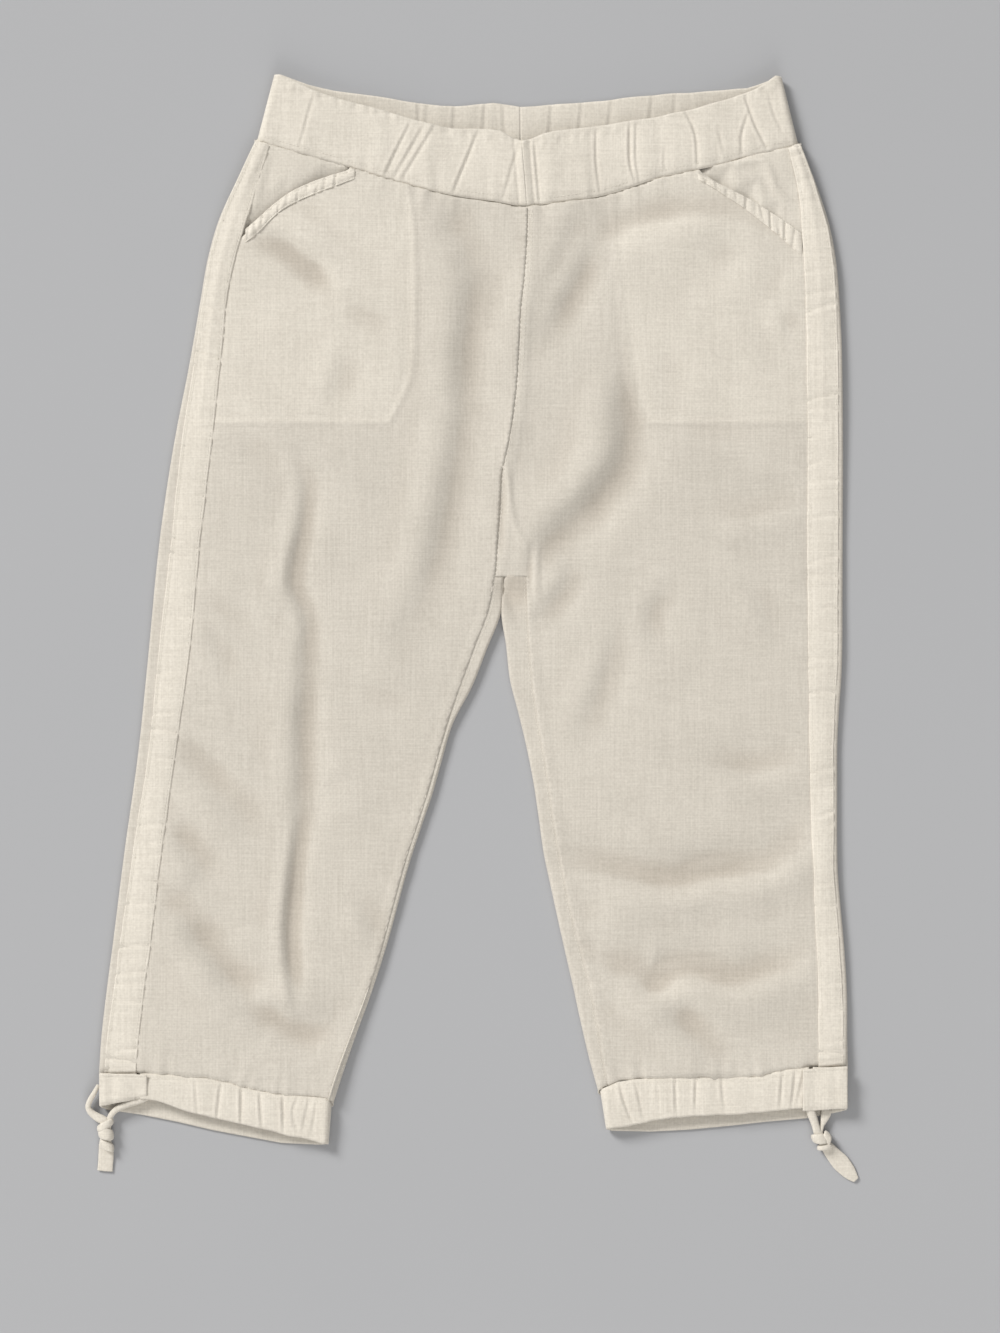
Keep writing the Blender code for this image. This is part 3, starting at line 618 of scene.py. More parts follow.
legCreases = {
    "right leg": [
        (15, 0.4, 1.5, [(-21, 312), (-10, 288), (-1, 263), (-3, 231), (-8, 203), (-8, 164)]),
        (14, 0.4, 1.2, [(-7, 165), (-7, 150), (-15, 105), (-20, 79), (-26, 55), (-31, 27), (-36, 14), (-60, -22)]),
        (7, 0.6, 1.0, [(-136, 112), (-131, 94), (-134, 63), (-142, 23), (-131, -6), (-131, -33)]),
        (9, 0.4, 1.2, [(-131, -20), (-135, -89), (-135, -140), (-137, -173)]),
        (6, 0.9, 1.4, [(-136, -165), (-142, -213), (-145, -251), (-142, -287), (-139, -310)]),
        (11, 0.3, 1.3, [(-238, -171), (-222, -191), (-209, -207)]),
        (13, 0.6, 2.2, [(-245, -228), (-224, -243), (-206, -269), (-186, -292), (-173, -310)]),
        (12, 0.3, 1.7, [(-176, -308), (-150, -311), (-137, -318), (-112, -328)]),
        (11, 0.5, 1.9, [(-172, 291), (-148, 288), (-123, 270), (-109, 252)]),
        (10, 0.2, 0.6, [(-98, 242), (-63, 224)]),
        (10, 0.2, 0.6, [(-99, 203), (-112, 160)]),
        (12, 0.2, 0.6, [(-172, 141), (-143, 112)]),
        (9, 0.2, 0.5, [(-210, 5), (-192, -55)]),
        (9, 0.2, 0.4, [(-203, 7), (-178, -22)]),
        (12, 0.2, 0.9, [(-227, -94), (-178, -133)]),
        (12, 0.2, 1.0, [(-217, -128), (-173, -173)]),
        (9, 0.2, 0.6, [(-90, -225), (-75, -260)]),
        (10, 0.2, 0.5, [(-89, -55), (-44, -69)]),
        (9, 0.2, 0.4, [(-116, -130), (-98, -133)]),
    ],
    "left leg": [
        (12, 0.3, -1.3, [(98, 288), (124, 298), (156, 305), (195, 305), (230, 291), (250, 272)]),
        (11, 0.4, 1.3, [(98, 288), (85, 263), (71, 238), (61, 217)]),
        (11, -0.3, 0.8, [(78, 316), (61, 277), (43, 238), (35, 210)]),
        (14, 0.6, 1.9, [(116, 182), (117, 130), (109, 108), (91, 86), (69, 64), (54, 48)]),
        (9, 0.3, 1.1, [(74, 37), (69, 18), (50, -4)]),
        (12, 0.2, 0.7, [(146, 203), (146, 147)]),
        (7, 0.3, 0.5, [(238, 231), (248, 214)]),
        (13, 0.2, -0.5, [(139, 140), (216, 130)]),
        (11, 0.3, -0.7, [(183, 70), (220, 73), (255, 81)]),
        (9, 0.2, 0.7, [(150, 18), (137, -2), (139, -28)]),
        (11, 0.3, 0.9, [(115, -12), (100, -56), (85, -94)]),
        (10, 0.2, 0.5, [(216, 18), (224, 5), (233, -17)]),
        (12, 0.3, -1.3, [(185, -122), (216, -126), (255, -120)]),
        (13, 0.6, -2.5, [(75, -204), (99, -204), (132, -213), (160, -215), (188, -208), (227, -204), (253, -191)]),
        (13, 0.6, -2.6, [(95, -278), (121, -285), (139, -296), (166, -287), (199, -292), (222, -287), (250, -276)]),
        (11, 0.2, 1.2, [(139, -296), (155, -318), (178, -343), (193, -358)]),
        (4, -0.9, 0.0, [(30, 162), (28, 136), (23, 119), (26, 105), (31, 70), (41, 50)]),
        (4, 0.9, 0.0, [(24, 128), (22, 119), (24, 100), (23, 81), (21, 45)]),
        (10, 1.6, 0.0, [(17, 20), (26, 13), (36, 14)]),
        (5, 0.9, 0.0, [(24, 24), (29, 8), (38, -14)]),
        (3, 0.7, 0.0, [(45, 48), (43.5, 30), (43, 12)]),
        (4, -0.8, 0.0, [(50, 50), (49, 30), (50, 8)]),
    ],
}

clothLie = {
    "waves": [(46, 0.7, 11), (21, 0.34, 12), (9, 0.10, 13)],  # cell, height, seed of soft unevenness
    "creases": 1.6,
    "lowest": 2.0,  # cloth never comes nearer the floor
    "paintedShadeReach": 13.0,  # painted shade: a trough this wide gets it in full where it is this deep
    "paintedShadeDepth": 1.5,
}


def waves(x, y):
    total = np.zeros_like(x)
    for cell, height, seed in clothLie["waves"]:
        total += height * softNoise(x, y, cell, seed, 1.4)
    return total


def topCloth(x, y):
    folds = clothLie["creases"] * creased(x, y, legCreases["right leg"] + legCreases["left leg"])
    return np.maximum(lie(x, y) + folds + waves(x, y), clothLie["lowest"])


def paintedShadeInHollows(x, y):
    # How far the cloth lies below what is round it, 0 to 1, which sets how much painted shade it gets.
    level, reach = topCloth(x, y), clothLie["paintedShadeReach"]
    around = np.zeros_like(level)
    for turn in np.linspace(0, 2 * math.pi, 8, endpoint=False):
        around += topCloth(x + reach * math.cos(turn), y + reach * math.sin(turn)) / 8
    return np.clip((around - level - 0.05) / clothLie["paintedShadeDepth"], 0, 1)


# ---- seams, where the cloth dips to the stitching and puckers beside it

seamLook = {
    # seed, spacing, height and reach of the puckers, and depth of the dip
    "tape": {"right": (21, 14.0, 0.45, 13.0, 0.35), "left": (21, 14.0, 0.45, 13.0, 0.35)},
    "rise": {"right": (31, 16.0, 0.28, 12.0, 0.3), "left": (31, 16.0, 0.28, 12.0, 0.3)},
    "inseam": {"right": (42, 9.0, 0.32, 9.0, 0.15), "left": (40, 9.0, 0.55, 9.0, 0.15)},
    "waist": {"right": (51, 7.0, 0.8, 13.0, 0.1), "left": (52, 7.0, 0.8, 13.0, 0.1)},
    "hem": {"right": (61, 7.0, 0.8, 15.0, 0.1), "left": (61, 7.0, 0.8, 15.0, 0.1)},
    "dipReach": 1.6,
}


def puckered(x, y, line, seed, pitch, height, reach, dip):
    # Short ripples that run square to a seam, uneven in spacing and size, and the dip at it.
    near = within(x, y, line, 3 * reach)
    total = np.zeros_like(x)
    if near.any():
        away, _, share = nearestOn(line, x[near], y[near])
        place = share * lengthOf(line) / pitch
        ripple = softNoise(place * 2.1, np.full_like(place, 5.0), 1.0, seed)
        size = 0.6 + 0.5 * softNoise(place, np.full_like(place, 5.0), 3.7, seed + 1)
        ripple = ripple * np.clip(size, 0.15, 1.2) * height * 1.4
        total[near] = ripple * np.exp(-((away / reach) ** 2))
        total[near] -= dip * np.exp(-((away / seamLook["dipReach"]) ** 2))
    return total


tapeEdges, tapeOuter, tapeInner, edgingEdges, tabEdges, waistSeam, hemSeam = ({} for _ in range(7))
for leg in legs:
    edges = edgesOf(faceOutline("side_tape_" + leg))
    tapeEdges[leg] = sorted(map(downwards, edges), key=lambda edge: edge[:, 0].mean() * inward[leg])
    tapeOuter[leg], tapeInner[leg] = (curveThrough(edge, 12.0) for edge in tapeEdges[leg])
    edgingEdges[leg] = leftToRight(lowAndHigh("pocket_edging_" + leg))
    tabEdges[leg] = leftToRight(lowAndHigh("casing_tab_" + leg))
    waistSeam[leg] = curveThrough(lowAndHigh("waistband_" + leg, 1, 6.0)[0], 10.0)[:, :2]
    hemSeam[leg] = curveThrough(lowAndHigh("hem_casing_" + leg, 1, 6.0)[1], 10.0)[:, :2]
waistLine = np.vstack([waistSeam[leg] for leg in legs])

frontLook = {
    "wall": 0.8,
    "spacing": 2.2,
    "grown": 0.9,  # lets the outline run on under the tapes
    "tuck": 1.8,  # runs on under waistband and casing
    "underBand": 2.3,  # how deep it goes there
    "underCasing": 2.4,
    "seamLap": {"right": 0.1, "left": 0.75},  # how high the front's edge lies over the back's
    "riseLap": {"right": 0.4, "left": -0.45},
    "bagEdge": 0.32,  # height of the ridge over the pocket bag's edge
    # turned allowances: the side they lie to, width and height
    "allowances": {"inseam": {"right": (-1, 7.5, 0.35), "left": (1, 7.5, 0.35)}, "rise": {"left": (1, 9.5, 0.4)}},
}


def tuckedOutline(leg):
    tuck = frontLook["tuck"]
    tucks = [(waistSeam["right"], tuck), (waistSeam["left"], tuck), (hemSeam[leg], -tuck)]
    return closedLoop("front_" + leg, frontLook["spacing"], frontLook["grown"], tucks)


frontOutline = {leg: tuckedOutline(leg) for leg in legs}


innerEnds = {"top": (41.5, 314), "foot": {"right": (-112, -380), "left": (107, -370)}, "crotch": (26, 27)}


def innerLine(leg):
    # Rise and inseam side of a front, from the waist to the casing.
    loop = frontOutline[leg]
    ends = innerEnds["top"], innerEnds["foot"][leg]
    a, b = (int(np.argmin(np.hypot(loop[:, 0] - x, loop[:, 1] - y))) for x, y in ends)
    forward = np.array([loop[(a + k) % len(loop)] for k in range((b - a) % len(loop) + 1)])
    backward = np.array([loop[(a - k) % len(loop)] for k in range((a - b) % len(loop) + 1)])
    return min((backward, forward), key=lambda line: abs(line[:, 0].mean()))


innerEdges = {leg: innerLine(leg) for leg in legs}
riseLine = innerEdges["right"][innerEdges["right"][:, 1] > innerEnds["crotch"][1]][::5]
inseams = {leg: innerEdges[leg][innerEdges[leg][:, 1] < innerEnds["crotch"][0]][::5] for leg in legs}

bagOutline = {leg: closedLoop("pocket_bag_" + leg, frontLook["spacing"]) for leg in legs}


def frontHeight(leg, lapped=False):
    # lapped raises the edge that lies over the inseam and parts the two fronts' edges at the rise.
    look = frontLook
    seams = [("tape", leg, tapeInner[leg][:, :2]), ("rise", leg, riseLine), ("inseam", leg, inseams[leg])]
    seams += [("waist", side, waistSeam[side]) for side in legs] + [("hem", leg, hemSeam[leg])]
    turned = [(riseLine, look["allowances"]["rise"].get(leg)), (inseams[leg], look["allowances"]["inseam"][leg])]

    def height(x, y):
        z = topCloth(x, y)
        for name, side, line in seams:
            z = z + puckered(x, y, line, *seamLook[name][side])
        # The cloth runs down under the waistband and the casing.
        z = z - look["underBand"] * smoothStep((y - acrossX(waistLine, x) + 1.6) / 1.6)
        z = z - look["underCasing"] * smoothStep((acrossX(hemSeam[leg], x) - y + 1.6) / 1.6)
        if lapped:
            for line, over in ((inseams[leg], look["seamLap"][leg]), (riseLine, look["riseLap"][leg])):
                z = z + over * smoothStep((2.0 - nearestOn(line, x, y)[0]) / 1.6)
        edge = np.vstack([bagOutline[leg], bagOutline[leg][:1]])
        near = within(x, y, edge, 8)
        if near.any():
            away = nearestOn(edge, x[near], y[near])[0]
            z[near] += look["bagEdge"] * np.exp(-((away / 1.7) ** 2)) - 0.2 * np.exp(-(((away - 4.5) / 2.5) ** 2))
        for line, allowance in turned:
            if allowance:
                side, wide, thick = allowance
                away, offset, _ = nearestOn(line, x, y)
                away = away * np.sign(offset) * side
                z = z + thick * smoothStep(away / 1.4) * smoothStep((wide - away) / 1.4)
        return np.maximum(z, clothLie["lowest"])

    return height


for leg in legs:
    mesh = panelMesh("front_" + leg, frontOutline[leg], frontLook["spacing"], frontHeight(leg, True))
    piece = thicken(addPiece("frontPanel_" + leg, mesh), frontLook["wall"])
    outline = bagOutline[leg]

    def doubled(x, y, outline=outline, tree=pointTree(outline)):
        # 1 over the pocket bag, fading across its edge.
        inside = np.zeros(len(x), dtype=bool)
        for (ax, ay), (bx, by) in zip(outline, np.roll(outline, -1, axis=0)):
            if ay != by:
                inside ^= ((ay > y) != (by > y)) & (x < ax + (y - ay) * (bx - ax) / (by - ay))
        away = np.array([tree.find((px, py, 0))[2] for px, py in zip(x, y)])
        return np.clip(0.5 + np.where(inside, away, -away) / 3.0, 0, 1)

    paint(piece, "ply", doubled)
    # painted shade in the hollows of the creases
    paint(piece, "hollow", paintedShadeInHollows)
    finish(piece, legLinen, "leg_cloth", "front_" + leg)
print("fronts done")


def foldedBand(name, node, path, thickness, steps):
    # A band round the sides of the cloth. path holds (kind, start, end, spacing) for its flat runs,
    # start and end being the x of its lower and upper edge, and (kind, edge, way, 0) for its folds.
    points, _ = nodeShape(node)
    rise = points[:, 2].max()
    radius = rise / 2
    faces = {}
    for side, facing, low, high in (("front", 1, 0.6 * rise, 99), ("back", -1, -1, 0.05)):
        faces[side] = lowAndHigh(node, facing, low, high)
    shares = np.linspace(0, 1, steps)
    rows = []
    for kind, start, end, spacing in path:
        if kind in faces:
            lower, upper = faces[kind]
            count = max(2, int(abs(end[0] - start[0]) / spacing) + 1)
            for t in np.linspace(0, 1, count)[(1 if rows else 0) :]:
                xLow, xHigh = (a + (b - a) * t for a, b in zip(start, end))
                x = xLow + (xHigh - xLow) * shares
                y = acrossX(lower, xLow) * (1 - shares) + acrossX(upper, xHigh) * shares
                rows.append(np.column_stack([x, y, np.full(steps, rise if kind == "front" else 0.0)]))
        else:
            # A half turn from the face the band is on to the other; start is the folded edge.
            goingDown = rows[-1][0, 2] > radius
            turns = np.linspace(0, math.pi, 13)[1:]
            x = start[0] + (start[1] - start[0]) * shares
            inner = end * radius
            levels = []
            for side in ("front", "back"):
                lower, upper = faces[side]
                yLow = acrossX(lower, start[0] + inner)
                levels.append(yLow + (acrossX(upper, start[1] + inner) - yLow) * shares)
            for turn in turns:
                down = turn / math.pi if goingDown else 1 - turn / math.pi
                z = radius + radius * math.cos(math.pi * down)
                away = x + inner * (1 - math.sin(turn))
                rows.append(np.column_stack([away, levels[0] * (1 - down) + levels[1] * down, np.full(steps, z)]))
    piece = addPiece(name, gridMesh(name, rows))
    bm = bmesh.new()
    bm.from_mesh(piece.data)
    bm.normal_update()
    highest = max(bm.faces, key=lambda face: face.calc_center_median().z)
    if highest.normal.z < 0:
        bmesh.ops.reverse_faces(bm, faces=bm.faces)
    bm.to_mesh(piece.data)
    bm.free()
    thicken(piece, thickness)
    smoothed(piece.data)
    return piece


def meshPoints(piece):
    return vertexValues(piece.data) / mm, vertexValues(piece.data, "normal")


def putPoints(piece, points):
    piece.data.vertices.foreach_set("co", (points * mm).ravel())
    piece.data.update()


# ---- backs

frontHeights = {leg: frontHeight(leg) for leg in legs}
backLook = {
    "wall": 0.8,
    "spacing": 3.6,
    # middle, reach and height: the cloth sinks at the crotch, and painted shade darkens it there
    "crotch": ((36, 8), (9, 14), 0.5),
    "shade": ((33, 16), (13, 17), 1.2),
}


def rolledStrip(foot, seam, lead):
    # From the floor round the folded side and over to a seam; foot and seam share their order.
    rows = []
    for (x0, y0), (x1, y1, z1) in zip(foot, seam):
        row = []
        radius = z1 / 2
        for turn in np.linspace(0, math.pi, 11):
            y = y0 + (y1 - y0) * turn / math.pi
            row.append((x0 - lead * radius * math.sin(turn), y, radius * (1 - math.cos(turn))))
        for share in np.linspace(0, 1, 6)[1:]:
            row.append((x0 + (x1 - x0) * share, y1, z1))
        row.append((x1 + lead * 0.8, y1, z1 - 0.12))
        row.append((x1 + lead * 2.2, y1, z1 - 1.1))
        rows.append(row)
    rows = np.array(rows)
    # Both ends run on under what they are sewn to.
    ends = rows[:1].copy(), rows[-1:].copy()
    for end, reach in zip(ends, (2.0, -2.0)):
        end[:, :, 1] += reach
        end[:, :, 2] -= 0.9 * end[:, :, 2] / end[:, :, 2].max()
    return np.concatenate([ends[0], rows, ends[1]])


for leg in legs:
    node = "back_" + leg
    lead = inward[leg]
    loop = stretches(faceOutline(node, -1, -1, 0.05)[:, :2])
    loop = np.vstack([curveThrough(cut, backLook["spacing"])[:-1] for cut in loop])
    flaps = sorted(faceOutlines(node, 1, 2.6)[:2], key=lambda flap: flap[:, 0].mean() * lead)
    sheetMesh = panelMesh("backPanel_" + leg, loop, backLook["spacing"], lambda x, y: np.zeros_like(x))
    bm = bmesh.new()
    bm.from_mesh(sheetMesh)
    bmesh.ops.reverse_faces(bm, faces=bm.faces)
    for flap, way in zip(flaps, (lead, -lead)):
        first, second = edgesOf(flap)
        seam = max((first, second), key=lambda edge: edge[:, 0].mean() * way)
        seam = curveThrough(downwards(seam), 1.0)
        # The stretch of the floor outline beside this flap.
        run = max(
            stretches(loop, 30),
            key=lambda cut: np.ptp(cut[:, 1])
            - 3 * np.abs(cut[:, 0] - np.interp(cut[:, 1], seam[::-1, 1], seam[::-1, 0])).mean(),
        )
        foot = downwards(run)
        share = np.linspace(0, 1, len(foot))
        line = np.column_stack([np.interp(share, np.linspace(0, 1, len(seam)), seam[:, k]) for k in range(3)])
        strip = rolledStrip(foot, line, way)
        made = [[bm.verts.new(point * mm) for point in row] for row in strip]
        for i in range(len(made) - 1):
            for j in range(len(made[0]) - 1):
                corners = [made[i][j], made[i][j + 1], made[i + 1][j + 1], made[i + 1][j]]
                bm.faces.new(corners)
    bmesh.ops.remove_doubles(bm, verts=bm.verts, dist=2e-5)
    bmesh.ops.recalc_face_normals(bm, faces=bm.faces)
    bm.normal_update()
    lowest = min(bm.faces, key=lambda face: face.calc_center_median().z)
    if lowest.normal.z > 0:
        bmesh.ops.reverse_faces(bm, faces=bm.faces)
    bm.to_mesh(sheetMesh)
    bm.free()
    piece = thicken(addPiece("backPanel_" + leg, sheetMesh), backLook["wall"])
    smoothed(piece.data)
    points, _ = meshPoints(piece)
    x, y, z = points.T
    raised = smoothStep((z / np.maximum(lie(x, y), 1) - 0.5) / 0.4)
    change = frontHeights[leg](x, y) - lie(x, y) - bump(x, y, *backLook["crotch"])
    points[:, 2] = np.maximum(z + raised * change, 0)
    putPoints(piece, points)
    paint(piece, "ply", lambda x, y: np.zeros_like(x))
    # painted shade at the crotch, where the back lies low under the fronts
    paint(piece, "hollow", lambda x, y: bump(x, y, *backLook["shade"]))
    finish(piece, legLinen, "leg_cloth", "back_" + leg)
print("backs done")

# ---- pocket bags

bagCreases = {
    "right": [
        (5, -0.8, 0.4, [(-160, 356), (-166, 330), (-174, 300)]),
        (9, 0.6, 0, [(-120, 345), (-150, 315)]),
    ],
    "left": [
        (3.2, -1.6, 0.0, [(205, 347), (216, 349), (226, 349), (231, 341), (235, 328), (243, 320), (250, 313)]),
        (5, 0.9, 0.0, [(204, 341), (216, 343), (223, 340), (228, 328), (238, 316)]),
    ],
}
bagLook = {"wall": 0.8, "spacing": 2.6, "uneven": 0.5, "ply": 0.8}

for leg in legs:
    corners, faces = nodeShape("pocket_bag_" + leg)
    up = faces[faceNormals(corners, faces)[:, 2] > 0.3]
    tree = BVHTree.FromPolygons(corners.tolist(), up.tolist())

    def bagHeight(x, y, tree=tree, leg=leg):
        z = np.array([tree.find_nearest((px, py, 8.0))[0].z for px, py in zip(x, y)])
        shown = smoothStep((z - 4.5) / 3)
        return z + shown * (creased(x, y, bagCreases[leg]) + bagLook["uneven"] * softNoise(x, y, 14, 77) - 0.2)

    mesh = panelMesh("pocketBag_" + leg, bagOutline[leg], bagLook["spacing"], bagHeight)
    piece = thicken(addPiece("pocketBag_" + leg, mesh), bagLook["wall"])
    paint(piece, "ply", lambda x, y: np.full_like(x, bagLook["ply"]))
    finish(piece, legLinen, "leg_cloth", "pocket_bag_" + leg)
print("bags done")

# ---- side tapes and pocket edgings


def reachedOut(line, by):
    # A line made longer at both ends.
    ends = [line[0] - line[1], line[-1] - line[-2]]
    first, last = (end / np.linalg.norm(end) * by for end in ends)
    return np.vstack([line[0] + first, line, line[-1] + last])


def trimStrip(name, lowEdge, highEdge, heightAt, look, seed):
    # A strip on the cloth, stitched down near both edges, puffed and puckered between.
    rng = np.random.default_rng(seed)
    lowEdge, highEdge = (reachedOut(edge, look["under"]) for edge in (lowEdge, highEdge))
    lowEdge, highEdge = matched(lowEdge, highEdge, look["spacing"])
    steps = np.linalg.norm(np.diff((lowEdge + highEdge) / 2, axis=0), axis=1)
    along = np.concatenate([[0], np.cumsum(steps)])
    place, puckers = rng.uniform(4, 9), list(look["folds"])
    while place < along[-1]:
        deep, half, tilt = rng.uniform(*look["deep"], 1)[0], rng.uniform(0.8, 1.7), rng.uniform(-0.25, 0.25)
        puckers.append((place, deep, half, tilt, rng.choice([-1, 0, 0, 1]), rng.uniform(0.45, 1.0)))
        place += rng.uniform(*look["pitch"])
    wave = softNoise(along / look["pitch"][1] * 1.5, np.full_like(along, seed), 1.0, seed)
    edgeWave = softNoise(along / 8.0, np.full_like(along, seed), 1.0, seed + 1) * look["scallop"]
    edgeWave = edgeWave * np.clip(along / 12, 0, 1) * np.clip((along[-1] - along) / 12, 0, 1)

    def swell(base, share, face):
        width = np.linalg.norm(highEdge - lowEdge, axis=1)
        inside = np.minimum(share, 1 - share) * width
        z = look["puff"] * math.sin(math.pi * share) ** 0.7 * (0.75 + 0.5 * wave)
        z = z - look["dip"] * np.exp(-(((inside - look["stitchIn"]) / 0.75) ** 2))
        for spot, deep, half, tilt, side, reach in puckers:
            at = (spot if spot > 0 else along[-1] + spot) + tilt * (share - 0.5) * width
            fromSide = share if side < 0 else 1 - share
            cover = smoothStep((reach - fromSide) / 0.35) if side else 1.0
            z = z - deep * cover * np.exp(-(((along - at) / half) ** 2))
            z = z + 0.35 * deep * cover * np.exp(-(((along - at - 2.4 * half) / (1.3 * half)) ** 2))
        fromEnd = np.minimum(along, along[-1] - along)
        z = z - look["sink"] * np.exp(-fromEnd / 2.0)
        move = np.zeros_like(base)
        across = (highEdge - lowEdge) / width[:, None]
        move += across * (edgeWave * (1 if share > 0.5 else -1) * abs(2 * share - 1))[:, None]
        under = heightAt(base[:, 0], base[:, 1])
        lift = under + look["thickness"] - 0.1 - base[:, 2]
        move[:, 2] += lift + (z if face == 1 else np.minimum(z, 0) * 0.6)
        return move

    return stripPiece(name, lowEdge, highEdge, look["thickness"], 12, swell)


tapeLook = {
    "spacing": 1.7,
    "thickness": 0.7,
    "puff": 0.85,
    "dip": 0.45,
    "stitchIn": 2.4,
    "deep": (0.3, 1.1),
    "pitch": (8, 24),
    "scallop": 0.35,
    "under": 2.2,  # how far the ends run on under band and casing, and how deep
    "sink": 0.5,
    # place from the start, or from the end where negative, depth, half width, tilt, side and reach
    "folds": [(-13, 1.3, 1.6, 0.12, 0, 1.0), (-6, 0.6, 1.2, -0.1, 0, 1.0)],
}
edgingLook = {
    "spacing": 1.1,
    "thickness": 0.8,
    "puff": 0.9,
    "dip": 0.4,
    "stitchIn": 1.6,
    "deep": (0.45, 1.0),
    "pitch": (5.5, 10),
    "scallop": 0.3,
    "under": 1.2,
    "sink": 0.7,
    "folds": [],
}

for leg in legs:
    flatten, height = np.array([1, 1, 0]), frontHeights[leg]
    low, high = (edge * flatten for edge in tapeEdges[leg][:: inward[leg]])
    piece = trimStrip("sideTape_" + leg, low, high, height, tapeLook, 5 + inward[leg])
    finish(piece, trimLinen, "trim_cloth", "side_tape_" + leg)
    lower, upper = (edge[::-1] * flatten for edge in edgingEdges[leg])
    piece = trimStrip("pocketEdging_" + leg, upper, lower, height, edgingLook, 15 + inward[leg])
    finish(piece, trimLinen, "trim_cloth", "pocket_edging_" + leg)
print("trims done")

# ---- waistband halves, gathered by the elastic inside

bandGathers = {
    "front": [  # strength, top to bottom
        (0.5, [(-124, 403), (-135, 362)]),
        (0.9, [(-50, 378), (-71, 335)]),
        (0.8, [(-39, 377), (-63, 335)]),
        (0.9, [(-31, 376), (-56, 335)]),
        (1.0, [(3, 371), (-17, 323)]),
        (0.6, [(35, 362), (22, 318)]),
        (0.9, [(47, 362), (49, 340), (51, 316)]),
        (0.8, [(95, 371), (95, 350), (98, 323)]),
        (1.0, [(121, 376), (121, 350), (125, 334)]),
        (0.7, [(126, 376), (126, 350), (128, 334)]),
        (0.9, [(164, 388), (172, 370), (174, 341)]),
        (1.1, [(211, 398), (218, 378), (228, 358)]),
        (0.8, [(213, 385), (208, 370), (208, 356)]),
        (0.5, [(229, 400), (233, 385), (240, 370)]),
        (0.4, [(148, 360), (148, 345), (150, 340)]),
        (0.4, [(190, 372), (194, 356)]),
    ],
    "back": [
        (0.7, [(-44, 400), (-43, 372)]),
        (0.9, [(-36, 400), (-38, 370)]),
        (1.0, [(-15, 398), (-17, 366)]),
        (1.0, [(9, 398), (6, 364)]),
        (0.9, [(22, 398), (24, 364)]),
        (0.8, [(61, 398), (58, 364)]),
        (0.8, [(84, 396), (81, 366)]),
        (0.6, [(107, 398), (104, 370)]),
        (0.7, [(139, 402), (136, 376)]),
        (0.5, [(157, 402), (155, 380)]),
    ],
}
bandLook = {
    "wall": 1.4,
    "depth": 50,
    "deep": 0.8,  # of the gathers
    "sink": 1.9,  # towards the seam with the fronts
    "ripple": 0.5,
    "small": 0.5,
    "beads": 0.8,  # at the top edge
    "puff": 0.5,
    "stitch": (4.2, 0.45),  # how far the stitches lie from the seam, and how deep they pull
    # x of the foot and head of the join of both halves, on the front and inside
    "frontMiddle": (41.6, 37.5),
    "backMiddle": (37.0, 36.5),
    "gap": 0.02,
    "ridge": 1.0,  # over the front join
}


def gatherHeight(x, y, rows):
    # Each gather is a narrow ridge with a dark groove beside it, in a wide shallow hollow.
    total = np.zeros_like(x)
    for strength, points in rows:
        line = curveThrough(points, 4.0)
        away, offset, share = nearestOn(line, x, y)
        run = 0.45 + 0.55 * np.sin(np.pi * np.clip(share, 0, 1)) ** 0.5
        beyond = np.exp(-np.maximum(away - np.abs(offset), 0) / 4)
        shape = 0.8 * np.exp(-(((offset + 1.5) / 1.3) ** 2)) - 1.25 * np.exp(-(((offset - 0.7) / 1.25) ** 2))
        total += strength * beyond * run * (shape - 0.5 * np.exp(-((away / 6) ** 2)))
    return total


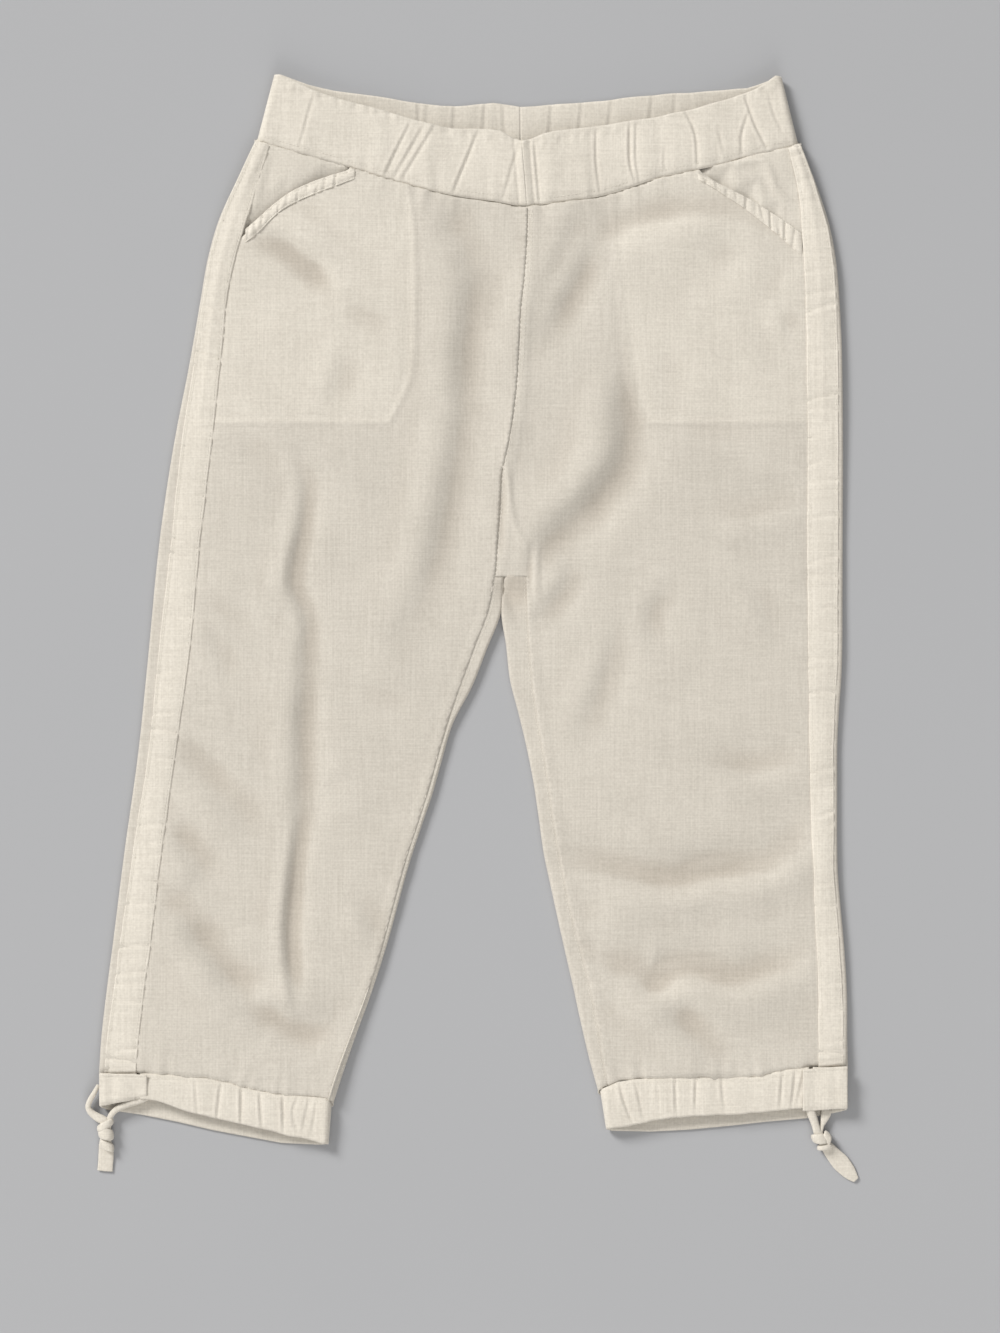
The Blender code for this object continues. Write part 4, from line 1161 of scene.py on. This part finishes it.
for leg in legs:
    points, _ = nodeShape("waistband_" + leg)
    lead = inward[leg]
    radius = points[:, 2].max() / 2
    edge = points[np.abs(points[:, 0] - (points[:, 0].min() if leg == "right" else points[:, 0].max())) < 20]
    edge = edge[np.abs(edge[:, 2] - radius) < 1.2]
    foot, head = edge[np.argmin(edge[:, 1])], edge[np.argmax(edge[:, 1])]
    fold = (foot[0], head[0])
    look = bandLook
    frontMiddle, backMiddle = (
        tuple(x - look["gap"] * lead for x in look[name]) for name in ("frontMiddle", "backMiddle")
    )
    path = [
        ("front", frontMiddle, (fold[0] + lead * radius, fold[1] + lead * radius), 1.0),
        ("fold", fold, lead, 0),
        ("back", (fold[0] + lead * radius, fold[1] + lead * radius), backMiddle, 1.6),
    ]
    piece = foldedBand("bandHalf_" + leg, "waistband_" + leg, path, look["wall"], 30)
    points, normals = meshPoints(piece)
    x, y, z = points.T.copy()
    front = smoothStep((z - 5.5) / 2.5)
    backInside = (z < 3) & (normals[:, 2] > 0.3)
    upY = y - acrossX(waistSeam[leg], x)
    up = np.clip(upY / look["depth"], 0, 1)
    fade = np.clip(upY / 4, 0, 1) * np.clip((54 - upY) / 6, 0.35, 1)
    gathers = gatherHeight(x, y, bandGathers["front"]) * look["deep"] * fade
    ripples = softNoise(x, y, 9.0, 91, 4.0) * look["ripple"]
    ripples += softNoise(x, y, 3.4, 94, 6.0) * look["small"] * (0.25 + 0.75 * np.exp(-upY / 9))
    beads = softNoise(x, y * 0 + 3, 2.6, 92) * look["beads"] * np.exp(-(((upY - 48.5) / 2.6) ** 2))
    puff = look["puff"] * np.sin(np.pi * up)
    lip = -look["sink"] * np.exp(-np.clip(upY, 0, None) / 2.4)
    groove = -look["stitch"][1] * np.exp(-(((upY - look["stitch"][0]) / 0.8) ** 2))
    points[:, 2] += front * (gathers + ripples + beads + puff + lip + groove - 0.5)
    points[:, 1] -= front * 0.6 * np.exp(-np.clip(upY, 0, None) / 1.0)
    points[:, 1] += softNoise(x, x * 0, 13.0, 93) * 0.9 * smoothStep(up)
    (middleFoot, middleHead) = look["frontMiddle"]
    fromMiddle = np.abs(x - (middleFoot - (middleFoot - middleHead) * up))
    ridge = look["ridge"] * np.exp(-((fromMiddle / 3.2) ** 2)) - 0.6 * np.exp(-(((fromMiddle - 6.0) / 1.1) ** 2))
    points[:, 2] += front * (ridge - 0.25 * np.exp(-fromMiddle / 0.8))
    points[:, 0] += lead * 0.17 * np.exp(-fromMiddle / 1.5)
    inside = gatherHeight(x, y, bandGathers["back"]) * 0.8 + softNoise(x, y, 6.0, 95, 6.0) * 0.3
    points[backInside, 2] += np.clip(inside[backInside], -0.8, 1.0)
    putPoints(piece, points)
    finish(piece, bandLinen, "band_cloth", "waistband_" + leg)
print("waistband done")

# ---- hem casings and tabs

casingGathers = {
    "right": [
        (0.5, [(-217, -366), (-215, -392)]),
        (0.9, [(-197, -368), (-200, -396)]),
        (1.1, [(-181, -369), (-181, -398)]),
        (0.9, [(-167, -370), (-165, -400)]),
        (1.1, [(-149, -373), (-148, -403)]),
        (0.6, [(-136, -376), (-141, -390), (-138, -404)]),
        (0.6, [(-128, -378), (-133, -404)]),
        (0.5, [(-122, -380), (-126, -406)]),
    ],
    "left": [
        (0.9, [(112, -362), (116, -380), (122, -396)]),
        (0.6, [(124, -365), (128, -378), (131, -394)]),
        (0.4, [(142, -364), (143, -388)]),
        (0.8, [(156, -360), (157, -388)]),
        (1.0, [(173, -358), (172, -386)]),
        (0.8, [(192, -358), (194, -384)]),
        (0.9, [(240, -358), (238, -384)]),
        (0.9, [(250, -358), (247, -386)]),
        (0.8, [(257, -357), (252, -380)]),
    ],
}
casingLook = {
    "wall": 1.3,
    "depth": 28,
    "deep": 0.85,
    "sink": 1.7,
    "ripple": 0.35,
    "puff": 0.6,
    "stitch": (3.0, 0.5),
    "start": {"right": -259.0, "left": 261.0},  # x at which the casing's two ends meet
    "arch": {"right": 4.0, "left": 0.0},  # how far the tie pulls the foot up there
}
tabLook = {"thickness": 1.0, "askew": {"right": 7.0, "left": 0.0}}

for leg in legs:
    points, _ = nodeShape("hem_casing_" + leg)
    radius = points[:, 2].max() / 2
    lead, look = inward[leg], casingLook
    folds = []
    for end in (points[:, 0].min(), points[:, 0].max()):
        edge = points[(np.abs(points[:, 0] - end) < 7) & (np.abs(points[:, 2] - radius) < 1.2)]
        foot, head = edge[np.argmin(edge[:, 1])], edge[np.argmax(edge[:, 1])]
        folds.append((foot[0], head[0]))
    outer, inner = folds if leg == "right" else folds[::-1]
    start = look["start"][leg]
    innerFlat = (inner[0] - lead * radius, inner[1] - lead * radius)
    outerFlat = (outer[0] + lead * radius, outer[1] + lead * radius)
    path = [
        ("front", (start, start), innerFlat, 1.1),
        ("fold", inner, -lead, 0),
        ("back", innerFlat, outerFlat, 2.0),
        ("fold", outer, lead, 0),
        ("front", outerFlat, (start - 3 * lead, start - 3 * lead), 2.0),
    ]
    piece = foldedBand("hemCasing_" + leg, "hem_casing_" + leg, path, look["wall"], 18)
    points, _ = meshPoints(piece)
    x, y, z = points.T.copy()
    front = smoothStep((z - 4.5) / 2.5)
    downY = acrossX(hemSeam[leg], x) - y
    gathers = gatherHeight(x, y, casingGathers[leg]) * look["deep"] * np.clip(downY / 4, 0, 1)
    ripples = softNoise(x, y, 6.0, 97, 4.0) * look["ripple"]
    puff = look["puff"] * np.sin(np.pi * np.clip(downY / look["depth"], 0, 1))
    groove = -look["stitch"][1] * np.exp(-(((downY - look["stitch"][0]) / 0.8) ** 2))
    lip = -look["sink"] * np.exp(-np.clip(downY, 0, None) / 2.4)
    points[:, 2] += front * (gathers + ripples + puff + groove + lip - 0.5)
    points[:, 1] += front * (0.6 * np.exp(-np.clip(downY, 0, None)))
    points[:, 1] += front * smoothStep(downY / 26) * softNoise(x, x * 0, 7.0, 98) * 0.6
    points[:, 1] += front * smoothStep(downY / 26) * look["arch"][leg] * np.exp(-(((x - start) / 22) ** 2))
    putPoints(piece, points)
    finish(piece, bandLinen, "band_cloth", "hem_casing_" + leg)

    def tabSwell(base, share, face, leg=leg):
        # Crosswise ribs, a hollow in the middle, and a step at the foot.
        move = np.zeros_like(base)
        x = base[:, 0]
        z = 0.5 * softNoise(x, x * 0, 4.2, 43 + inward[leg]) + 0.6 * softNoise(x, base[:, 1], 12.0, 45)
        z = z - 0.5 * np.exp(-(((share - 0.9) / 0.035) ** 2))
        move[:, 2] = z - 0.4 - 1.3 * smoothStep(np.array((0.16 - share) / 0.16))
        move[:, 1] = 0.5 * softNoise(x, x * 0, 6.0, 47) * (1 - share)
        # The tie pulls the foot of a tab askew.
        move[:, 1] += tabLook["askew"][leg] * np.clip((x - x.min()) / np.ptp(x), 0, 1) * (1 - share)
        return move

    edges = matched(*tabEdges[leg], 1.2)
    piece = stripPiece("casingTab_" + leg, *edges, tabLook["thickness"], 20, tabSwell)
    finish(piece, trimLinen, "trim_cloth", "casing_tab_" + leg)
print("casings done")

# ---- ties

tieShapes = {
    # x, y, z of the middle, width, thickness
    "right": {
        "strand": [
            (-252, -378, 6.4, 5.0, 3.6), (-258, -380.5, 6.0, 6.0, 4.0), (-264, -382.6, 5.8, 6.2, 4.4),
            (-270.5, -384.8, 5.6, 5.8, 4.6), (-277.5, -388.4, 5.0, 5.0, 4.6), (-281.6, -392.6, 4.6, 4.4, 4.2),
            (-284, -398, 4.2, 4.6, 4.4), (-285.5, -407, 4.0, 6.5, 4.6), (-286.6, -412, 3.4, 8.5, 3.6),
            (-286.6, -417, 2.2, 10.5, 2.2), (-286.4, -421, 1.5, 11.4, 1.6), (-286.6, -428, 1.1, 11.8, 1.3),
            (-287.4, -437.4, 0.9, 11.8, 1.2),
        ],
        "loop": [
            (-292.0, -370, 4.4, 3.0, 3.0), (-295.3, -376, 4.4, 3.6, 3.4), (-298.6, -382, 4.4, 4.2, 3.8),
            (-300.0, -387, 4.2, 4.6, 4.2), (-297.4, -391.6, 4.2, 5.4, 4.4), (-292.5, -395, 4.4, 6.4, 4.6),
            (-288, -397.5, 4.8, 7.0, 4.6), (-284.5, -401, 5.0, 6.0, 4.0),
        ],
        "wraps": [
            # middle, half width, half height, tilt, band width, thickness, bearing
            ((-286.6, -401.0, 4.6), 5.2, 2.9, 2.8, 6.0, 2.6, 0),
            ((-286.2, -407.6, 4.4), 4.7, 2.9, -1.4, 9.5, 2.8, 4),
            ((-285.2, -417.2, 2.9), 4.3, 2.0, -2.4, 7.0, 2.0, 0),
        ],
    },
    "left": {
        "strand": [
            (259.5, -381, 7.4, 4.4, 3.0), (261.0, -385.5, 6.6, 6.4, 4.0), (262.8, -391, 5.8, 6.8, 4.6),
            (264.8, -396.5, 5.2, 6.6, 4.6), (266.6, -402, 4.6, 6.2, 4.6), (268.2, -407, 4.4, 6.4, 4.8),
            (271.0, -412, 4.4, 7.4, 5.0), (274.2, -416.5, 3.6, 8.4, 4.0), (277.4, -420.6, 2.2, 10.4, 2.4),
            (281.6, -425.6, 1.4, 12.8, 1.6), (286.6, -431.2, 1.1, 13.4, 1.3), (291.4, -436.6, 1.0, 11.8, 1.3),
            (295.0, -440.8, 0.9, 9.2, 1.2), (298.4, -444.4, 0.9, 4.8, 1.1),
        ],
        "loop": [
            (275.2, -388.5, 3.4, 8.0, 1.6), (274.6, -392.6, 3.4, 7.8, 1.8), (273.2, -397, 3.4, 5.6, 2.6),
            (271.6, -402, 3.6, 3.2, 3.2), (270.6, -407, 4.2, 3.0, 3.2),
        ],
        "wraps": [
            ((269.6, -411.6, 4.4), 4.6, 2.9, -1.8, 8.0, 2.8, 20),
            ((275.2, -411.2, 3.9), 3.0, 2.5, 2.0, 7.0, 2.6, 48),
            ((273.6, -418.2, 3.7), 4.6, 2.5, 1.6, 4.6, 2.4, -12),
        ],
    },
}


def sweepMesh(points, thins, widths, heights, closed, sides=16):
    # A soft flat tube along a line; thins point out of its flat side.
    points, thins = np.asarray(points, float), np.asarray(thins, float)
    if closed:
        along = np.roll(points, -1, axis=0) - np.roll(points, 1, axis=0)
    else:
        along = np.gradient(points, axis=0)
    along /= np.linalg.norm(along, axis=1)[:, None]
    wide = np.cross(along, thins)
    wide /= np.linalg.norm(wide, axis=1)[:, None]
    thin = np.cross(wide, along)
    turn = np.linspace(0, 2 * np.pi, sides, endpoint=False)
    c = np.sign(np.cos(turn)) * np.abs(np.cos(turn)) ** 0.8
    s = np.sign(np.sin(turn)) * np.abs(np.sin(turn)) ** 0.8
    rings = (
        points[:, None, :]
        + wide[:, None, :] * (c[None, :, None] * np.asarray(widths)[:, None, None] / 2)
        + thin[:, None, :] * (s[None, :, None] * np.asarray(heights)[:, None, None] / 2)
    )
    count = len(points)
    vertices = rings.reshape(-1, 3).tolist()
    faces = []
    for k in range(count if closed else count - 1):
        n = (k + 1) % count
        for i in range(sides):
            j = (i + 1) % sides
            faces.append((k * sides + i, k * sides + j, n * sides + j, n * sides + i))
    if not closed:
        for k, flip in ((0, -1), (count - 1, 1)):
            vertices.append((points[k] + along[k] * flip * 0.3).tolist())
            middle = len(vertices) - 1
            for i in range(sides):
                j = (i + 1) % sides
                a, b = k * sides + i, k * sides + j
                faces.append((middle, a, b) if flip == 1 else (middle, b, a))
    return vertices, faces


def meshPiece(name, parts):
    vertices, faces = [], []
    for newVertices, newFaces in parts:
        start = len(vertices)
        vertices += newVertices
        faces += [tuple(v + start for v in face) for face in newFaces]
    mesh = newMesh(name, vertices, faces)
    facingOut(mesh)
    return addPiece(name, mesh)


cordLook = {
    "step": 0.8,
    "length": {"right": 0.073, "left": 0.073},
    "wide": 0.0078,
    "hidden": {"right": 8, "left": 5},  # steps of the line that lie in the casing
}

ties = {}
for leg in legs:
    shape = tieShapes[leg]
    made = {}
    for part in ("strand", "loop"):
        rows = curveThrough(shape[part], cordLook["step"])
        uneven = softNoise(np.arange(len(rows)) * cordLook["step"], np.full(len(rows), 2.0), 5.0, 61)
        widths = rows[:, 3] * (1 + 0.06 * uneven)
        rows[:, 2] = np.maximum(rows[:, 2], rows[:, 4] / 2 + 0.05)
        up = np.tile([0.0, 0.0, 1.0], (len(rows), 1))
        mesh = sweepMesh(rows[:, :3], up, widths, rows[:, 4], False)
        made[part] = meshPiece("tie" + part.capitalize() + "_" + leg, [mesh])
        made[part + "Line"] = rows[:, :3]
    turn = np.linspace(0, 2 * np.pi, 40, endpoint=False)
    wraps = []
    for (cx, cy, cz), rx, rz, tilt, wide, thick, bearing in shape["wraps"]:
        heading = math.radians(bearing)
        across = np.array([math.cos(heading), math.sin(heading), 0])
        along = np.array([-math.sin(heading), math.cos(heading), 0])
        out = np.outer(np.cos(turn), across) + np.outer(np.sin(turn), (0, 0, 1))
        line = (
            np.array([cx, cy, cz])
            + np.outer(np.cos(turn) * rx, across)
            + np.outer(np.sin(turn) * rz, (0, 0, 1))
            + np.outer(np.cos(turn) * tilt, along)
        )
        line[:, 2] = np.maximum(line[:, 2], thick / 2 + 0.2)
        widths = wide * (0.82 + 0.18 * np.sin(turn))
        wraps.append(sweepMesh(line, out, widths, np.full(len(turn), thick), True))
    made["knot"] = meshPiece("tieKnot_" + leg, wraps)
    finish(made["strand"], tieLinen, "tie_cloth", "tie_strand_" + leg, "tie_tail_" + leg)
    finish(made["loop"], tieLinen, "tie_cloth", "tie_loop_" + leg)
    finish(made["knot"], tieLinen, "tie_cloth", "tie_knot_" + leg)
    ties[leg] = made
print("ties done")

# ---- sewing

threadSize = {"pitch": 2.9, "long": 2.0, "wide": 0.42, "high": 0.34, "stray": 0.10}
seamStitches = {"inseam": 1.7, "rise": (1.6, 4.2), "flyLength": 160}  # how far they lie from the seam
# stitches that close the opening at the top of the rise
flyHook = [(35.5, 313), (36.4, 305), (39.5, 301.5), (43.5, 303), (45.5, 309), (45.6, 314)]


def surfaceTree(*names):
    # What a row of stitches can lie on.
    corners, triangles = [], []
    for name in names:
        mesh = pieces[name].data
        mesh.calc_loop_triangles()
        start = len(corners)
        corners += [tuple(vertex.co / mm) for vertex in mesh.vertices]
        triangles += [tuple(start + v for v in tri.vertices) for tri in mesh.loop_triangles]
    return BVHTree.FromPolygons(corners, triangles)


def sew(name, slot, tree, lines, seed):
    rng = np.random.default_rng(seed)
    parts = []
    for line in lines:
        path = curveThrough(line, threadSize["pitch"])
        path = path[:, :2] + rng.normal(0, threadSize["stray"], (len(path), 2))
        for first, second in zip(path[:-1], path[1:]):
            gap = (1 - threadSize["long"] / np.linalg.norm(second - first)) / 2
            ends = [first + (second - first) * gap, second - (second - first) * gap]
            hits = [tree.ray_cast(Vector((*end, 40)), Vector((0, 0, -1)))[0] for end in ends]
            if None in hits:
                continue
            a, b = (np.array(hit) for hit in hits)
            a[2] = b[2] = max(min(a[2], b[2]), (a[2] + b[2]) / 2 - 0.3)
            across = np.cross(b - a, (0, 0, 1))
            across *= threadSize["wide"] / 2 / np.linalg.norm(across)
            up = np.array([0, 0, threadSize["high"]])
            vertices, low = [], -0.5 * up
            for share, size in ((0.0, 0.35), (0.3, 1.0), (0.7, 1.0), (1.0, 0.35)):
                middle = a + (b - a) * share
                vertices += [middle - across * size + low, middle - across * 0.6 * size + up * 0.75 * size]
                vertices += [middle + across * 0.6 * size + up * 0.75 * size, middle + across * size + low]
            faces = [(0, 1, 2, 3), (15, 14, 13, 12)]
            for k in (0, 4, 8):
                faces += [(k + i, k + 4 + i, k + 4 + (i + 1) % 4, k + (i + 1) % 4) for i in range(4)]
            parts.append(([v.tolist() for v in vertices], faces))
    finish(meshPiece(name, parts), threadLook, slot)


def shifted(line, by):
    # A line moved sideways, to the right of its own way.
    line = np.asarray(line)[:, :2]
    along = np.gradient(line, axis=0)
    along /= np.linalg.norm(along, axis=1)[:, None]
    return line + np.column_stack([along[:, 1], -along[:, 0]]) * by


def trimmed(line, start, end):
    line = curveThrough(line, 1.0)
    return line[int(start) : len(line) - int(end)]


for leg in legs:
    seed, lead = 300 + inward[leg], inward[leg]
    cloth = surfaceTree("frontPanel_" + leg, "backPanel_" + leg)
    lines = [trimmed(shifted(inseams[leg], -seamStitches["inseam"] * lead), 2, 3)]
    if leg == "left":
        first, second = (shifted(riseLine, -away) for away in seamStitches["rise"])
        lines = [trimmed(first, 3, 3), trimmed(second, 3, seamStitches["flyLength"]), flyHook] + lines
    sew("legStitches_" + leg, "leg_cloth", cloth, lines, seed)

    trims = surfaceTree("sideTape_" + leg, "pocketEdging_" + leg, "casingTab_" + leg)
    (lower, upper), (_, tabTop) = edgingEdges[leg], tabEdges[leg]
    inTape, inEdging = tapeLook["stitchIn"], edgingLook["stitchIn"]
    lines = [(tapeOuter[leg], -lead * inTape), (tapeInner[leg], lead * inTape)]
    lines += [(lower, -inEdging), (upper, inEdging), (tabTop, 2.0)]
    sew("trimStitches_" + leg, "trim_cloth", trims, [trimmed(shifted(*line), 2, 2) for line in lines], seed + 10)

    band = surfaceTree("bandHalf_" + leg, "hemCasing_" + leg)
    waist, hem = (line[leg][np.argsort(line[leg][:, 0])] for line in (waistSeam, hemSeam))
    waist, hem = shifted(waist, -bandLook["stitch"][0]), shifted(hem, casingLook["stitch"][0])
    sew("bandStitches_" + leg, "band_cloth", band, [trimmed(waist, 2, 4), trimmed(hem, 3, 5)], seed + 20)
print("sewing done")

# ---- cloth and cords as cut


# Flat sizes as (width, length). Band and casing are their runs as laid, let out a tenth for gathers.
cuts = {
    "roll": 0.030,  # what a back's flat size gains by its two rolled sides
    "tape": {"right": (0.022, 0.734), "left": (0.021, 0.717)},
    "tab": {"right": (0.037, 0.026), "left": (0.035, 0.034)},
    "band": {"right": (0.050, 0.46), "left": (0.050, 0.485)},
    "casing": {"right": (0.028, 0.44), "left": (0.030, 0.48)},
}

for leg in legs:
    front, back, bag = (pieces[name + leg] for name in ("frontPanel_", "backPanel_", "pocketBag_"))
    pieces["pocketEdging_" + leg]
    pieces["legStitches_" + leg]
    points, _ = meshPoints(back)
    wide, long = np.ptp(points[:, 0]) * mm + cuts["roll"], np.ptp(points[:, 1]) * mm
    tape, band = pieces["sideTape_" + leg], pieces["bandHalf_" + leg]
    pieces["trimStitches_" + leg]
    pieces["casingTab_" + leg]
    pieces["hemCasing_" + leg]
    pieces["bandStitches_" + leg]
    pieces["hemCasing_" + leg]
    line = ties[leg]["strandLine"][cordLook["hidden"][leg] :]
    print("tie", leg, "length", round(lengthOf(line), 1))
    tuple(line[0] * mm)
    (line * mm).tolist()

# ---- stage, light and camera

view = {"height": 2.3, "middle": (20.7, -44.0), "tall": 1040.0}
floorLook = {"size": 8, "tones": ((0.36, 0.36, 0.365, 1), (0.375, 0.375, 0.38, 1)), "roughness": 0.9}
lights = {  # power, size and place, all turned to the middle of the floor
    "key": (1900, 4.0, (-7.8, 7.8, 6.6)),
    "fill": (34, 4.0, (1.5, -1.5, 4.0)),
    "low": (100, 3.0, (0.3, -4.5, 2.2)),
}
worldLight = 0.42


def makeStage():
    bpy.ops.mesh.primitive_grid_add(x_subdivisions=8, y_subdivisions=8, size=floorLook["size"])
    floor = bpy.context.object
    floor.name = "floor"
    floor.location.z = -0.0004
    recipe = Recipe("paleFloor")
    place = recipe.node("ShaderNodeTexCoord", output=3)
    tone = recipe.mix(recipe.noise(place, 3.0, 2.0), *floorLook["tones"])
    recipe.put(recipe.shader.inputs["Base Color"], tone)
    recipe.shader.inputs["Roughness"].default_value = floorLook["roughness"]
    recipe.shader.inputs["Specular IOR Level"].default_value = 0.1
    floor.data.materials.append(recipe.material)


def makeLight(name, power, size, place):
    data = bpy.data.lights.new(name, "AREA")
    data.energy = power
    data.size = size
    light = bpy.data.objects.new(name, data)
    light.location = place
    light.rotation_euler = (Vector(place) * -1).to_track_quat("-Z", "Y").to_euler()
    bpy.context.scene.collection.objects.link(light)


def makeCamera():
    data = bpy.data.cameras.new("camera")
    data.sensor_width = 36
    data.lens = 36 * view["height"] / (view["tall"] * mm)
    camera = bpy.data.objects.new("camera", data)
    camera.location = (view["middle"][0] * mm, view["middle"][1] * mm, view["height"])
    bpy.context.scene.collection.objects.link(camera)
    bpy.context.scene.camera = camera


makeStage()
for name, (power, size, place) in lights.items():
    makeLight(name, power, size, place)
makeCamera()
world = bpy.data.worlds.new("softWorld")
world.use_nodes = True
world.node_tree.nodes["Background"].inputs["Color"].default_value = (1, 1, 1, 1)
world.node_tree.nodes["Background"].inputs["Strength"].default_value = worldLight
bpy.context.scene.world = world
bpy.context.scene.view_settings.view_transform = "Standard"
